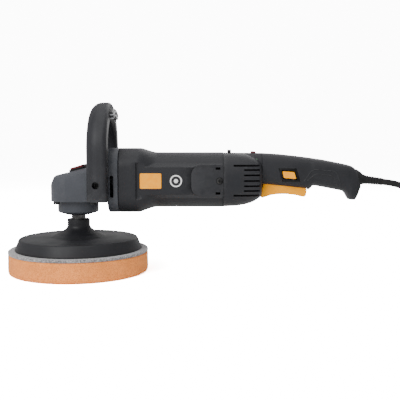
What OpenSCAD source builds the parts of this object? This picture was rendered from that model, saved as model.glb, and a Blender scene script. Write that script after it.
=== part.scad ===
// Rotary polisher: foam pad on a bevel-gear head, brushed mains motor, rear grip with paddle trigger,
// loop handle and mains lead. The origin is the middle of the pad's working face, +Z runs up the
// spindle and +X runs along the motor towards the rear grip.

/* [Pad] */
// Diameter of the foam pad
pad_d = 180; // [170:1:190]
// Thickness of the foam
foam_t = 25.5; // [24:0.5:27]
// Thickness of the hook-and-loop layer behind the foam
loop_layer_t = 3.5; // [2.5:0.5:4]

/* [Gear head] */
// Half width of the cast gear head
head_half_w = 34; // [34:0.5:36]
// Radius of the bearing box under the head
bearing_box_r = 26; // [25:0.5:28]
// Teeth on the spindle's bevel wheel
wheel_teeth = 37; // [37:1:37]
// Teeth on the armature's bevel pinion
pinion_teeth = 9; // [9:1:9]
// Gear module at the heel of the teeth
gear_module = 1.4; // [1.38:0.01:1.4]

/* [Motor] */
// Half height of the front bell of the motor housing
bell_r = 40.5; // [40:0.5:41]
// Radius of the motor barrel
barrel_r = 35.2; // [34.8:0.1:35.5]
// Half width over the flat side panels
panel_half_w = 36; // [35.8:0.1:36.5]
// Place along the motor where barrel and rear grip meet
seam_x = 187; // [187:0.5:188]

/* [Rear grip] */
// Half width of the grip
grip_half_w = 19; // [18:0.5:20]
// Wall of the two grip shells
shell_t = 2.8; // [2.4:0.1:3]
// Half width of the paddle trigger
trigger_half_w = 9; // [8:0.5:9.5]
// Radius of the speed thumbwheel
dial_r = 12; // [11:0.5:12]

/* [Loop handle] */
// Outer radius of the arch
arch_r = 61; // [60:0.5:62]
// Thickness of the arch along its radius
arch_t = 21; // [20:0.5:21]
// Width of the arch along the motor
arch_w = 26; // [24.5:0.25:26]

/* [Mains lead] */
// Diameter of the lead
cord_d = 8.5; // [8:0.1:8.6]
// Spacing of the plug's two pins
pin_spacing = 19; // [18.5:0.5:19.5]
// Radius of a plug pin
pin_r = 2.4; // [2:0.1:2.5]

/* [Hidden] */

$fn = 64;
slack = 1;                                  // how far a cutting tool runs past the face it opens
plate_z = foam_t + loop_layer_t;
hub_top_z = plate_z + 39;
box_z = hub_top_z + 7;
head_z = box_z + 17;
motor_z = head_z + 26.5;

// Gear pair: both pitch cones meet where the spindle and the motor axis cross.
wheel_pitch_r = gear_module * wheel_teeth / 2;
pinion_pitch_r = gear_module * pinion_teeth / 2;
toe_ratio = 0.7;
lock_pin_at = [0, -13];
bush_z = motor_z - 1;
bush_l = 5.5;
well_z = bush_z + bush_l + 1;
well = [[-8.2, -17.2], [10.2, 17.2]];       // opening for the spindle lock, seen from above
button = [[-6.8, -16], [8.8, 16]];
button_foot_z = well_z + 5;
lock_floor = 0.8;

// Roof of the gear head, rising towards the motor.
head_front = -32.5;
head_rear = 46;
roof_start = [-24, 33];
roof_tilt = 13.8;

// Loop handle.
arch_x = 19.2;
flange_x = 42.5;
arch_z = motor_z + 37.5;
arch_foot_z = head_z + 2;
bolt_x = 32;
bolt_z = motor_z - 4.2;

// Rear grip, as seen from the side. Heights are from the motor axis.
grip_top = [[seam_x, 34.6], [202, 33.9], [237, 33.5], [257, 32.2], [276, 30.2], [295, 27.9],
    [315, 24.9], [334, 21.3], [352, 17.5], [358, 12.2]];
grip_back = [[363.5, -8], [360.3, -19.4], [357.4, -25.2], [349, -24.7]];
grip_under = [[344.3, -17.3], [340.8, -14.5], [319, -9.5], [302, -6.8], [296, -11.2]];
trigger_line = [[293, -11.2], [237.2, -5.9]];
grip_belly = [[234.6, -22.6], [226, -27.6], [218.4, -30.8], [210.6, -32.7], [191, -34.3],
    [seam_x, -34.6]];
// Rear grip, half of it as seen from above.
grip_plan = [[seam_x, panel_half_w], [215, 35.5], [228, 32], [236, 26], [242, 21.5],
    [250, grip_half_w], [340, grip_half_w], [356, grip_half_w - 2], [364, grip_half_w - 6]];
grip_posts = [[202.2, 17.5], [206, -22], [235, 22], [318, 4], [350, -14]];
post_r = 4.5;

// Paddle trigger.
trigger_pivot = [245, 0];
trigger_pin_r = 2;
pin_clearance = 0.05;
plunger_x = 268;
lock_on_at = [270, 6.5];
dial_x = 192.7;
dial_t = 4.4;
dial_z = motor_z + 25.9;

// Mains lead: its way out of the grip, the coil on the floor and the plug on top of the coil.
cord_exit = [393, 0, motor_z - 2.9];
cord_dip = 6.9;
turn_pitch = 8.6;
coil_middle_r = 50.5;
coil_columns = 3;
coil_layers = 4;
coil_base_z = 1;
coil_at = [490, -59];
coil_h = coil_layers * turn_pitch;
lead_route = [cord_exit, [404, 0, 114], [416, 0, 111], [427, 0, 106], [437, 0, 98], [445, 1, 87],
    [450, 2.5, 74], [454, 4.5, 60], [458, 7, 46], [463, 9.5, 33], [470, 11, 21], [480, 10, 12],
    [491.3, 6.3, 7], [502, 1.6, 5.4], [511, -2.9, 5.3], [519.6, -7.8, 5.3]];
plug_axis_z = coil_base_z + coil_h + 13;
plug_at = [coil_at[0] + 46, coil_at[1] + 14, plug_axis_z];
plug_len = 45;
tail_climb = [31.1, 32, 34.3, 36.9, 39, 39.7, 39.7, 39.7, 39.7, 39.7, 39.7, 39.7, 39.7, 39.7, 39.7,
    39.7, 39.7, 39.7, 39.7, 39.9, 40.6, 42];
tail_route = concat([for (i = [0:21]) [coil_at[0] + 59.1 * cos(105 - i * 130 / 7),
    coil_at[1] + 59.1 * sin(105 - i * 130 / 7), tail_climb[i]]],
    [[515.3, -6, 43.4], [523.9, -12.6, 45], [530.4, -21.2, 46.6], [534.6, -31.2, 48], plug_at]);

function arc(middle, r, from, to, steps) =
    [for (i = [0:steps]) middle + r * [cos(from + (to - from) * i / steps), sin(from + (to - from) * i / steps)]];
function round_square(half_a, half_b, r, steps = 8) =
    concat(arc([half_a - r, half_b - r], r, 0, 90, steps), arc([r - half_a, half_b - r], r, 90, 180, steps),
        arc([r - half_a, r - half_b], r, 180, 270, steps), arc([half_a - r, r - half_b], r, 270, 360, steps));

// Turns a shape drawn up +Z so that it lies along the motor axis, starting at x.
module along_x(x = 0) {
    translate([x, 0, motor_z]) rotate([0, 90, 0]) children();
}

// Turns a shape drawn up +Z so that it points out of the near side, -Y.
module out_of_side(x, y, up) {
    translate([x, -y, motor_z + up]) rotate([90, 0, 0]) children();
}

// Extrudes a side view, drawn in X and in height above the motor axis, to a half width either side.
module side_view(half_w) {
    translate([0, half_w, motor_z]) rotate([90, 0, 0]) linear_extrude(2 * half_w) children();
}

module both_sides() {
    children();
    mirror([0, 1, 0]) children();
}

module ring(r_out, r_in, h) {
    difference() {
        cylinder(r = r_out, h = h);
        translate([0, 0, -slack]) cylinder(r = r_in, h = h + 2 * slack);
    }
}

// A screw pointing down -Z from its head, with a cross recess.
module screw(head_r, head_h, shank_r, shank_l) {
    difference() {
        cylinder(r = head_r, h = head_h);
        for (a = [0, 90]) rotate(a) translate([-head_r * 0.6, -0.4, head_h * 0.45]) cube([head_r * 1.2, 0.8, head_h]);
    }
    translate([0, 0, -shank_l]) cylinder(r = shank_r, h = shank_l);
}

// A ball bearing with both races, its balls and a shield's worth of cage between them.
module ball_bearing(r_out, r_in, w) {
    gap = (r_out - r_in) / 3;
    ring(r_out, r_out - gap, w);
    ring(r_in + gap, r_in, w);
    for (a = [0:45:315]) rotate(a) translate([(r_out + r_in) / 2, 0, w / 2]) sphere(r = gap * 0.62, $fn = 24);
    translate([0, 0, w / 2 - 0.5]) ring(r_out - gap * 0.9, r_in + gap * 0.9, 1);
}

module foam_pad() {
    edge_r = 3;
    r = pad_d / 2;
    color("sandybrown") rotate_extrude() polygon(concat([[0, 0]],
        arc([r - edge_r, edge_r], edge_r, -90, 0, 6), [[r, foam_t - 1], [r - 1, foam_t], [0, foam_t]]));
}

module loop_layer() {
    color("dimgray") translate([0, 0, foam_t]) cylinder(r = pad_d / 2 - 0.5, h = loop_layer_t);
}

module backing_plate() {
    rim_r = pad_d / 2 - 8.6;
    color("#2b2b2d") difference() {
        translate([0, 0, plate_z]) rotate_extrude() polygon([[0, 0], [rim_r, 0], [rim_r - 5.7, 14.5],
            [36, 15.5], [32, 17.4], [28, 19], [25, 21], [21, 23], [17, 25.8], [14.5, 29], [14.5, 39], [0, 39]]);
        insert_space();
    }
}

module insert_space() {
    translate([0, 0, plate_z + 5]) cylinder(r = 24, h = 3);
    translate([0, 0, plate_z + 7]) cylinder(r = 11, h = 32 + slack);
}

module threaded_insert() {
    color("silver") difference() {
        union() {
            translate([0, 0, plate_z + 5]) cylinder(r = 24, h = 3);
            translate([0, 0, plate_z + 8]) cylinder(r = 11, h = 31);
        }
        translate([0, 0, plate_z + 9]) cylinder(r = 7, h = 31);
    }
}

module key_space() {
    translate([5.5, -1.5, head_z + 6]) cube([4, 3, 9]);
}

module spindle() {
    flat_half = 8;
    color("#3a3a3c") difference() {
        union() {
            translate([0, 0, plate_z + 11]) cylinder(r = 7, h = 28);
            translate([0, 0, hub_top_z]) cylinder(r = 9, h = 11);
            translate([0, 0, box_z + 4]) cylinder(r = 7.5, h = head_z + 18 - box_z - 4);
            translate([0, 0, head_z + 18]) cylinder(r = 4, h = 12.6);
        }
        both_sides() translate([-10, flat_half, hub_top_z + 1]) cube([20, 5, 5]);
        key_space();
        circlip_space(3.4);
    }
}

module circlip_space(r_in) {
    translate([0, 0, head_z + 18]) ring(4 + slack, r_in, 1);
}

// The tooth outline around the wheel at the heel: two root points and two tip points a tooth.
tooth_tip = 0.62 * gear_module;
tooth_root = 1.35 * gear_module;
tip_half = 0.4 * gear_module;
root_half = 1.08 * gear_module;
function wheel_point(angle, height) =
    [wheel_pitch_r * cos(angle), wheel_pitch_r * sin(angle), height - pinion_pitch_r];
function half_angle(half_width) = half_width / wheel_pitch_r * 180 / PI;
function wheel_outline() = [for (t = [0:wheel_teeth - 1], p = [[-root_half, -tooth_root],
    [-tip_half, tooth_tip], [tip_half, tooth_tip], [root_half, -tooth_root]])
    wheel_point(t * 360 / wheel_teeth + half_angle(p[0]), p[1])];

// One ring of teeth: every line from heel to toe runs to the point where the two axes cross.
module wheel_teeth_ring(base_h) {
    heel = wheel_outline();
    n = len(heel);
    toe = [for (p = heel) toe_ratio * p];
    toe_base = [for (p = toe) [p[0], p[1], base_h]];
    heel_base = [for (p = heel) [p[0], p[1], base_h]];
    translate([0, 0, motor_z]) polyhedron(concat(heel, toe, toe_base, heel_base),
        [for (band = [0:3], i = [0:n - 1]) [band * n + i, (band + 1) % 4 * n + i,
            (band + 1) % 4 * n + (i + 1) % n, band * n + (i + 1) % n]]);
}

module bevel_wheel() {
    web_top = head_z + 17;
    color("lightslategray") difference() {
        union() {
            wheel_teeth_ring(head_z + 11 - motor_z);
            translate([0, 0, head_z + 11]) cylinder(r = toe_ratio * wheel_pitch_r + 0.8, h = 6);
            translate([0, 0, head_z + 3]) cylinder(r = 10, h = 15);
        }
        translate([0, 0, head_z + 3 - slack]) cylinder(r = 7.5, h = 15 + 2 * slack);
        for (a = [0:90:270]) rotate(a) translate([lock_pin_at[0], lock_pin_at[1], web_top - 5])
            cylinder(r = 2.7, h = 6);
        key_space();
    }
}

module wheel_key_and_circlip() {
    color("silver") key_space();
    color("dimgray") translate([0, 0, head_z + 18]) difference() {
        ring(7, 3.4, 1);
        translate([0, -1, -slack]) cube([10, 2, 3]);
    }
}

module lower_bearing() {
    color("silver") translate([0, 0, box_z + 4]) ball_bearing(17.5, 7.55, 11);
}

module bearing_retainer() {
    color("dimgray") translate([0, 0, box_z + 15]) ring(17.5, 13, 2);
}

module dust_seal() {
    color("#222222") translate([0, 0, box_z + 1]) ring(12, 9.06, 3);
}

module upper_bush() {
    color("goldenrod") translate([0, 0, bush_z]) ring(6.5, 4.04, bush_l);
}

module box_screw_places() {
    for (x = [-23, 23], y = [-24, 24]) translate([x, y, 0]) children();
}

module box_flange() {
    translate([0, 0, head_z]) linear_extrude(3) polygon(round_square(28.5, 30, 12));
}

module bearing_box() {
    color("#55565a") difference() {
        union() {
            translate([0, 0, box_z]) rotate_extrude() polygon([[0, 0], [13, 0], [bearing_box_r, 6],
                [bearing_box_r, 17.5], [0, 17.5]]);
            box_flange();
        }
        translate([0, 0, box_z - slack]) cylinder(r = 10, h = 10);
        translate([0, 0, box_z + 1]) cylinder(r = 12, h = 10);
        translate([0, 0, box_z + 4]) cylinder(r = 17.5, h = 20);
        box_screw_places() translate([0, 0, head_z - slack]) cylinder(r = 2.1, h = 5);
    }
}

module bearing_box_screws() {
    color("#1d1d1f") box_screw_places() translate([0, 0, head_z]) rotate([180, 0, 0]) screw(4, 3.5, 2, 9);
}

module head_outline() {
    front_r = 24;
    polygon(concat(arc([head_front + front_r, head_half_w - front_r], front_r, 90, 180, 8),
        arc([head_front + front_r, front_r - head_half_w], front_r, 180, 270, 8),
        [[head_rear, -head_half_w], [head_rear, head_half_w]]));
}

module head_block() {
    bevel = 5;
    axis_up = motor_z - head_z;
    intersection() {
        translate([0, 0, head_z]) linear_extrude(60) head_outline();
        side_view(40) polygon([[head_front, -axis_up], [head_front + 0.8, -6.5], [roof_start[0], roof_start[1] - axis_up],
            [head_rear, roof_start[1] - axis_up + (head_rear - roof_start[0]) * tan(roof_tilt)], [head_rear, -axis_up]]);
        translate([roof_start[0], 0, head_z + roof_start[1]]) rotate([0, -roof_tilt, 0])
            translate([-40, 0, 0]) rotate([90, 0, 90]) linear_extrude(130)
            polygon([[-40, -90], [-40, -bevel - 3], [-22, 0], [22, 0], [40, -bevel - 3], [40, -90]]);
    }
}

module exhaust_slot() {
    slot_r = 2.25;
    for (up = [-18.5, 4.8]) out_of_side(48.5, 30, up) cylinder(r = slot_r, h = 15);
    translate([48.5 - slot_r, -45, motor_z - 18.5]) cube([2 * slot_r, 15, 23.3]);
}

module bell_outline() {
    polygon(round_square(bell_r, bell_r - 1.5, 24));
}

module gear_housing() {
    color("#5b5c60") difference() {
        union() {
            head_block();
            along_x(flange_x) linear_extrude(56 - flange_x) bell_outline();
        }
        box_flange();
        translate([0, 0, head_z - slack]) cylinder(r = 27.5, h = 28);
        translate([0, 0, bush_z]) cylinder(r = 6.5, h = bush_l);
        along_x(12) cylinder(r = 9.5, h = 28);
        along_x(39) cylinder(r = 16, h = 12);
        along_x(46) ring(36.5, 20, 11);
        along_x(51) cylinder(r = 25, h = 6);
        both_sides() exhaust_slot();
        box_screw_places() translate([0, 0, head_z + 2]) cylinder(r = 2.1, h = 8);
        both_sides() out_of_side(bolt_x, 24, bolt_z - motor_z) cylinder(r = 2.5, h = 12);
        translate([lock_pin_at[0], lock_pin_at[1], motor_z]) cylinder(r = 2.55, h = 30);
        upright(well, well_z, 40);
        along_x(flange_x - slack) front_screw_places() cylinder(r = 2.1, h = 30);
        along_x(flange_x - slack) front_screw_places() cylinder(r = 3.5, h = 4.5 + slack);
    }
    color("#5b5c60") translate([0, 0, bush_z]) ring(9.5, 6.5, bush_l);
}

// Four long screws hold gear head, fan chamber and motor housing together at the bell's corners.
module front_screw_places() {
    for (a = [45:90:315]) rotate(a) translate([41.4, 0, 0]) children();
}

// A box from its lowest and highest corner as seen from above, standing on z.
module upright(corners, z, h, shrink = 0) {
    translate([corners[0][0] + shrink, corners[0][1] + shrink, z])
        cube([corners[1][0] - corners[0][0] - 2 * shrink, corners[1][1] - corners[0][1] - 2 * shrink, h]);
}

// Everything under a plane that starts at height z over x = 0 and rises towards the motor.
module below_slope(z, tilt) {
    translate([0, 0, z]) rotate([0, -tilt, 0]) translate([-60, -60, -60]) cube([120, 120, 60]);
}

module lock_button_base() {
    roof_z = head_z + roof_start[1] - roof_start[0] * tan(roof_tilt);
    color("#232325") intersection() {
        below_slope(roof_z + 2.6, roof_tilt);
        difference() {
            upright(well, well_z, 20);
            upright(button, well_z + lock_floor, 20, -0.4);
            translate([lock_pin_at[0], lock_pin_at[1], head_z]) cylinder(r = 2.7, h = 60);
        }
    }
}

module spindle_lock_button() {
    color("firebrick") difference() {
        intersection() {
            upright(button, button_foot_z, 20);
            below_slope(motor_z + 17.3, 17);
        }
        translate([1, 0, button_foot_z - slack]) cylinder(r = 4.8, h = 4 + slack);
    }
    color("firebrick") translate([lock_pin_at[0], lock_pin_at[1], head_z + 18]) cylinder(r = 2.5,
        h = button_foot_z - head_z - 17);
}

module lock_spring() {
    color("silver") translate([1, 0, well_z + lock_floor]) ring(4.2, 3.2, 8.2);
}

// Cross section of the arch: X is the radius from its middle, Y runs along the motor.
module arch_section(r_in, r_out, w, corner) {
    soft_r = 15;
    polygon(concat(arc([r_in + corner, corner], corner, 180, 270, 6),
        arc([r_out - soft_r, soft_r], soft_r, 270, 360, 10), arc([r_out - corner, w - corner], corner, 0, 90, 6),
        arc([r_in + corner, w - corner], corner, 90, 180, 6)));
}

// Sweeps a section, its second axis starting at x, over the arch and down both legs to foot_z.
module over_arch(x, foot_z) {
    translate([x, 0, arch_z]) {
        rotate([0, 90, 0]) rotate([0, 0, 90]) rotate_extrude(angle = 180) children();
        both_sides() rotate([180, 0, 90]) linear_extrude(arch_z - foot_z) children();
    }
}

module inlay_channel() {
    translate([arch_r - arch_t + 3, 0]) square([arch_t - 8.5, 6]);
}

module loop_handle() {
    inner = arch_r - arch_t;
    pad_w = flange_x - arch_x - 1.5;
    color("#3c3d40") difference() {
        union() {
            over_arch(arch_x, arch_foot_z) arch_section(inner, arch_r, arch_w, 5);
            both_sides() translate([arch_x, head_half_w, arch_foot_z]) cube([pad_w, inner - head_half_w + 2, 40]);
        }
        over_arch(arch_x + arch_w - 5, arch_foot_z + 11) inlay_channel();
        both_sides() out_of_side(bolt_x, head_half_w - 5, bolt_z - motor_z) cylinder(r = 2.6, h = 40);
        both_sides() out_of_side(bolt_x, 46, bolt_z - motor_z) cylinder(r = 4.4, h = 20);
    }
}

module handle_inlay() {
    color("#2c2d2f") over_arch(arch_x + arch_w - 5, arch_foot_z + 11) intersection() {
        inlay_channel();
        square([arch_r, 5]);
    }
}

module grip_insert() {
    spread = 52;
    color("silver") translate([arch_x + arch_w, 0, arch_z]) rotate([0, 90, 0]) rotate([0, 0, 180 - spread / 2])
        rotate_extrude(angle = spread) polygon([[43.5, 0], [43.5, 3], [44.5, 5], [46, 5.2], [47, 3.6], [48, 5.2],
            [50, 5.2], [51, 3.6], [51.6, 4.6], [53, 3], [53, 0]]);
}

module handle_bolts() {
    color("#1d1d1f") both_sides() out_of_side(bolt_x, 46, bolt_z - motor_z) difference() {
        union() {
            cylinder(r = 4.2, h = 5);
            translate([0, 0, -20]) cylinder(r = 2.5, h = 20);
        }
        translate([0, 0, 2]) cylinder(r = 2.3, h = 4, $fn = 6);
    }
}

module front_bearing() {
    color("silver") along_x(41) ball_bearing(16, 6.05, 10);
}

module front_bearing_plate() {
    color("#8a8b8e") along_x(51) difference() {
        ring(24.5, 10, 3);
        for (a = [0:90:270]) rotate(a) translate([19, 0, -slack]) cylinder(r = 1.6, h = 5);
    }
}

module armature_shaft() {
    color("gray") {
        along_x(26) cylinder(r = 4, h = 14);
        along_x(40) cylinder(r = 6, h = 15);
        along_x(55) cylinder(r = 5, h = 101);
        along_x(156) cylinder(r = 4, h = 33.5);
    }
}

// Pinion outline at the heel: tooth flanks bulge as a generated tooth's do.
function pinion_outline() = [for (t = [0:pinion_teeth - 1], p = [[-1.2, 4.75], [-0.8, 6.2], [-0.27, 7.6],
    [0.27, 7.6], [0.8, 6.2], [1.2, 4.75]])
    p[1] * [cos(t * 360 / pinion_teeth + p[0] / p[1] * 180 / PI), sin(t * 360 / pinion_teeth + p[0] / p[1] * 180 / PI)]];

module bevel_pinion() {
    heel_x = wheel_pitch_r;
    color("lightslategray") difference() {
        union() {
            along_x(heel_x) mirror([0, 0, 1]) rotate(180) linear_extrude(height = heel_x * (1 - toe_ratio), scale = toe_ratio)
                polygon(pinion_outline());
            along_x(heel_x - 0.01) cylinder(r = 4.7, h = 1);
            along_x(heel_x + 0.4) cylinder(r = 7.8, h = 9.6);
        }
        along_x(26) cylinder(r = 4, h = 12);
    }
}

module cooling_fan() {
    color("#d8d4c8") along_x(58) difference() {
        union() {
            cylinder(r = 37, h = 2);
            cylinder(r = 9, h = 16);
            for (a = [0:30:330]) rotate(a) translate([14, -0.9, 1]) rotate(12) cube([21.5, 1.8, 14]);
        }
        translate([0, 0, -slack]) cylinder(r = 5, h = 20);
    }
}

module slot_bars(r_in, r_out) {
    for (a = [0:30:330]) rotate(a) translate([r_in, -1.6]) square([r_out - r_in, 3.2]);
}

module armature_core() {
    color("#77797c") along_x(92) linear_extrude(50) difference() {
        circle(r = 19.5);
        circle(r = 5);
        slot_bars(11, 18);
    }
}

module armature_windings() {
    color("peru") along_x(84) {
        ring(17.5, 5, 8);
        translate([0, 0, 8]) linear_extrude(50) intersection() {
            slot_bars(11, 18);
            circle(r = 17.9);
        }
        translate([0, 0, 58]) ring(17.5, 5, 8);
    }
}

module commutator() {
    color("peru") along_x(157) difference() {
        ring(12.5, 4, 18);
        for (a = [0:15:165]) rotate(a) translate([-13, -0.2, 2]) cube([1.2, 0.4, 18]);
        for (a = [0:15:165]) rotate(a) translate([11.8, -0.2, 2]) cube([1.2, 0.4, 18]);
    }
}

module fan_baffle() {
    color("#2f3033") along_x(76.5) ring(37.5, 22, 1.5);
}

module coil_pockets() {
    for (a = [0, 180], side = [-1, 1]) rotate(a + side * 55) translate([21, -3.4]) square([7, 6.8]);
}

module stator_core() {
    color("#77797c") along_x(92) linear_extrude(50) difference() {
        circle(r = 31.5);
        circle(r = 20.5);
        coil_pockets();
    }
}

module field_coils() {
    color("peru") along_x(84) {
        translate([0, 0, 0]) linear_extrude(66) coil_pockets();
        for (z = [0, 58]) translate([0, 0, z]) for (a = [0, 180]) rotate(a - 55) rotate_extrude(angle = 110)
            translate([21.5, 0]) square([6, 8]);
    }
}

module rear_bearing() {
    color("silver") along_x(181.5) ball_bearing(11, 4.04, 7);
}

module rear_bearing_bush() {
    color("#222222") along_x(181) ring(13, 11, 7.5);
}

module panel_prism(x, length) {
    along_x(x) linear_extrude(length) polygon([[-17, panel_half_w], [17, panel_half_w], [22.3, 27], [22.3, -27],
        [17, -panel_half_w], [-17, -panel_half_w], [-22.3, -27], [-22.3, 27]]);
}

module brush_cover_outline() {
    round_r = 10;
    polygon(concat(arc([146 + round_r, 20.6 - round_r], round_r, 90, 180, 8),
        arc([146 + round_r, round_r - 20.6], round_r, 180, 270, 8), [[seam_x - 0.5, -20.6], [seam_x - 0.5, 20.6]]));
}

module brush_cover_slab(extra = 0) {
    translate([0, -panel_half_w + 1.6, motor_z]) rotate([90, 0, 0]) linear_extrude(2.2 + extra) brush_cover_outline();
}

module motor_housing() {
    rear_x = 178;
    color("#38393c") difference() {
        union() {
            along_x(56) linear_extrude(24) bell_outline();
            hull() {
                along_x(80) linear_extrude(0.1) bell_outline();
                along_x(102) cylinder(r = barrel_r + 0.3, h = 0.1, $fn = 48);
            }
            along_x(98) cylinder(r = barrel_r, h = seam_x - 98);
            panel_prism(78, seam_x - 78);
        }
        along_x(56 - slack) cylinder(r = 38, h = 22 + slack);
        along_x(77) cylinder(r = 31.5, h = rear_x - 77);
        along_x(rear_x + 3) cylinder(r = 31.5, h = 20);
        along_x(rear_x - slack) cylinder(r = 8, h = 10);
        along_x(56 - slack) front_screw_places() cylinder(r = 2.1, h = 12);
        for (a = [0:45:315]) along_x(rear_x - slack) rotate(a) translate([23, 0, 0]) cylinder(r = 5, h = 10);
        both_sides() translate([78, -60, motor_z - 22]) cube([120, 60 - panel_half_w, 44]);
        both_sides() brush_cover_slab(5);
        both_sides() translate([159.5, -50, motor_z - 6.5]) cube([14, 22, 13]);
        both_sides() out_of_side(181.8, 29, 0) cylinder(r = 1.5, h = 9);
    }
    color("#38393c") along_x(rear_x + 1) ring(15.5, 13, 10);
}

module housing_screws() {
    color("silver") along_x(flange_x + 4.5) mirror([0, 0, 1]) front_screw_places() screw(3.3, 3, 1.95, 19);
}

module brush_holders() {
    color("goldenrod") both_sides() difference() {
        translate([159.5, -34, motor_z - 6.5]) cube([14, 20, 13]);
        translate([162.4, -34.5, motor_z - 4.1]) cube([8.2, 22, 8.2]);
    }
}

module carbon_brushes() {
    color("#2a2a2a") both_sides() translate([162.5, -29, motor_z - 4]) cube([8, 16.2, 8]);
    color("silver") both_sides() out_of_side(166.5, 29, 0) ring(2.8, 2, 4.8);
}

module brush_covers() {
    color("#38393c") both_sides() difference() {
        brush_cover_slab();
        out_of_side(181.8, 30, 0) cylinder(r = 1.55, h = 10);
        out_of_side(181.8, panel_half_w - 0.6, 0) cylinder(r = 3.8, h = 5);
        for (up = [-15.3, 15.5]) translate([176.7, -panel_half_w - 2, motor_z + up - 1.5]) cube([6, 2.6, 3]);
    }
}

module brush_cover_screws() {
    color("#1d1d1f") both_sides() out_of_side(181.8, panel_half_w - 0.6, 0) screw(3.7, 1.4, 1.45, 6);
}

module badge_plates() {
    color("orange") both_sides() translate([83.2, -panel_half_w - 0.6, motor_z - 9.5]) cube([26.5, 0.6, 19]);
    color("white") both_sides() out_of_side(127.8, panel_half_w, 0) ring(7.5, 5.9, 0.4);
    color("white") both_sides() out_of_side(127.8, panel_half_w, 0) cylinder(r = 2.6, h = 0.4);
}

module grip_side(inset) {
    offset(delta = -inset) polygon(concat(grip_top, grip_back, grip_under, trigger_line, grip_belly));
}

module grip_from_above(inset) {
    offset(delta = -inset) polygon(concat(grip_plan, [for (i = [len(grip_plan) - 1:-1:0])
        [grip_plan[i][0], -grip_plan[i][1]]]));
}

module grip_block(inset) {
    intersection() {
        side_view(60) grip_side(inset);
        translate([0, 0, motor_z - 60]) linear_extrude(120) grip_from_above(inset);
        along_x(seam_x) union() {
            cylinder(r = 41 - inset, h = 60);
            translate([0, 0, 50]) cylinder(r = 60, h = 140);
        }
    }
}

module grip_shell() {
    vent_x = 212;
    difference() {
        union() {
            difference() {
                grip_block(0);
                grip_block(shell_t);
                along_x(seam_x - slack) cylinder(r = 31.5, h = 5);
            }
            intersection() {
                grip_block(0);
                for (p = grip_posts) side_view(40) translate(p) circle(r = post_r);
            }
            intersection() {
                grip_block(0);
                side_view(40) translate(trigger_pivot) circle(r = post_r);
            }
        }
        for (p = grip_posts) side_view(12) translate(p) circle(r = 1.85);
        for (p = grip_posts) translate([p[0], 12, motor_z + p[1]]) rotate([-90, 0, 0]) cylinder(r = 3.8, h = 40);
        side_view(14) translate(trigger_pivot) circle(r = trigger_pin_r);
        translate([236, -trigger_half_w - 0.6, motor_z - 40]) cube([59.2, 2 * trigger_half_w + 1.2, 44.9]);
        translate([dial_x - 0.8, -11.6, dial_z - 4]) cube([dial_t + 1.6, 23.2, 30]);
        translate([222.5, -3.2, motor_z + 25]) cube([6.5, 6.4, 20]);
        for (up = [13.5, 7, 0, -6.5, -12.5]) both_sides() translate([vent_x, -50, motor_z + up - 1.1]) cube([20, 28, 2.2]);
        for (up = [18.8, -18.4]) both_sides() translate([199, -50, motor_z + up - 1.2]) cube([33, 22, 2.4]);
        along_cord(-60) cylinder(r = 7, h = 60);
        along_cord(-39.2) cylinder(r = 10.2, h = 3.3);
        along_cord(-31.6) cylinder(r = 10, h = 14);
        out_of_side(0, 5, 0) linear_extrude(30) lock_frame_outline(0);
    }
}

module rear_housing_left() {
    color("#38393c") intersection() {
        grip_shell();
        translate([seam_x - slack, -80, 0]) cube([200, 80, 200]);
    }
}

module rear_housing_right() {
    color("#38393c") difference() {
        grip_shell();
        translate([seam_x - 2, -80, 0]) cube([200, 80, 200]);
    }
}

module rear_housing_screws() {
    color("silver") for (p = grip_posts) translate([p[0], 12, motor_z + p[1]]) rotate([-90, 0, 0])
        screw(3.6, 2.6, 1.8, 22);
}

module speed_controller() {
    color("darkgreen") translate([208, -15, motor_z + 5]) cube([22, 30, 22]);
    color("dimgray") along_x(dial_x - 1) translate([-25.9, 0, 0]) cylinder(r = 2.5, h = 209 - dial_x);
}

module speed_dial() {
    color("#232325") translate([dial_x, 0, dial_z]) rotate([0, 90, 0]) difference() {
        cylinder(r = dial_r, h = dial_t);
        translate([0, 0, -slack]) cylinder(r = 2.55, h = dial_t + 2 * slack);
        for (a = [0:15:345]) rotate(a) translate([dial_r + 0.4, 0, -slack]) cylinder(r = 0.9, h = dial_t + 2 * slack, $fn = 16);
    }
}

module power_lamp() {
    color("darkred") translate([222.7, -3, motor_z + 27]) cube([6.1, 6, 8.3]);
}

module trigger_switch() {
    color("#1d1d1f") difference() {
        translate([256, -8.5, motor_z + 9]) cube([32, 17, 15]);
        translate([plunger_x, 0, motor_z + 8]) cylinder(r = 2.55, h = 9);
    }
}

module switch_plunger() {
    color("whitesmoke") translate([plunger_x, 0, motor_z - 0.6]) cylinder(r = 2.5, h = 13.6);
}

module trigger() {
    color("orange") difference() {
        union() {
            side_view(trigger_half_w) polygon([[238.4, -5.9], [238.4, 0], [240.5, 4], [248, 4], [256, 0.5],
                [290, -5], [293.2, -11], [291.6, -21.8], [276, -18.8], [262.2, -18.1], [249, -19.4], [235.6, -24]]);
        }
        side_view(trigger_half_w + 2) translate(trigger_pivot) circle(r = trigger_pin_r + pin_clearance);
    }
}

module trigger_pin() {
    color("silver") side_view(13.8) translate(trigger_pivot) circle(r = trigger_pin_r);
}

module trigger_spring() {
    color("silver") translate([278, 0, motor_z - 2.2]) ring(3.4, 2.4, 11);
}

// The lock button's outline leans with the grip; grow widens it on every side.
module lock_frame_outline(grow) {
    translate(lock_on_at) polygon([[-12 - grow, 8 + grow], [8 + grow, 8 + grow], [13 + grow, -8 - grow],
        [-7 - grow, -8 - grow]]);
}

module lock_on_button() {
    color("orange") out_of_side(0, 11.8, 0) linear_extrude(grip_half_w + 0.8 - 11.8) translate(lock_on_at)
        polygon([[-8.7, 5], [6.5, 3.8], [9, -5], [-6.7, -3.7]]);
}

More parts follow.
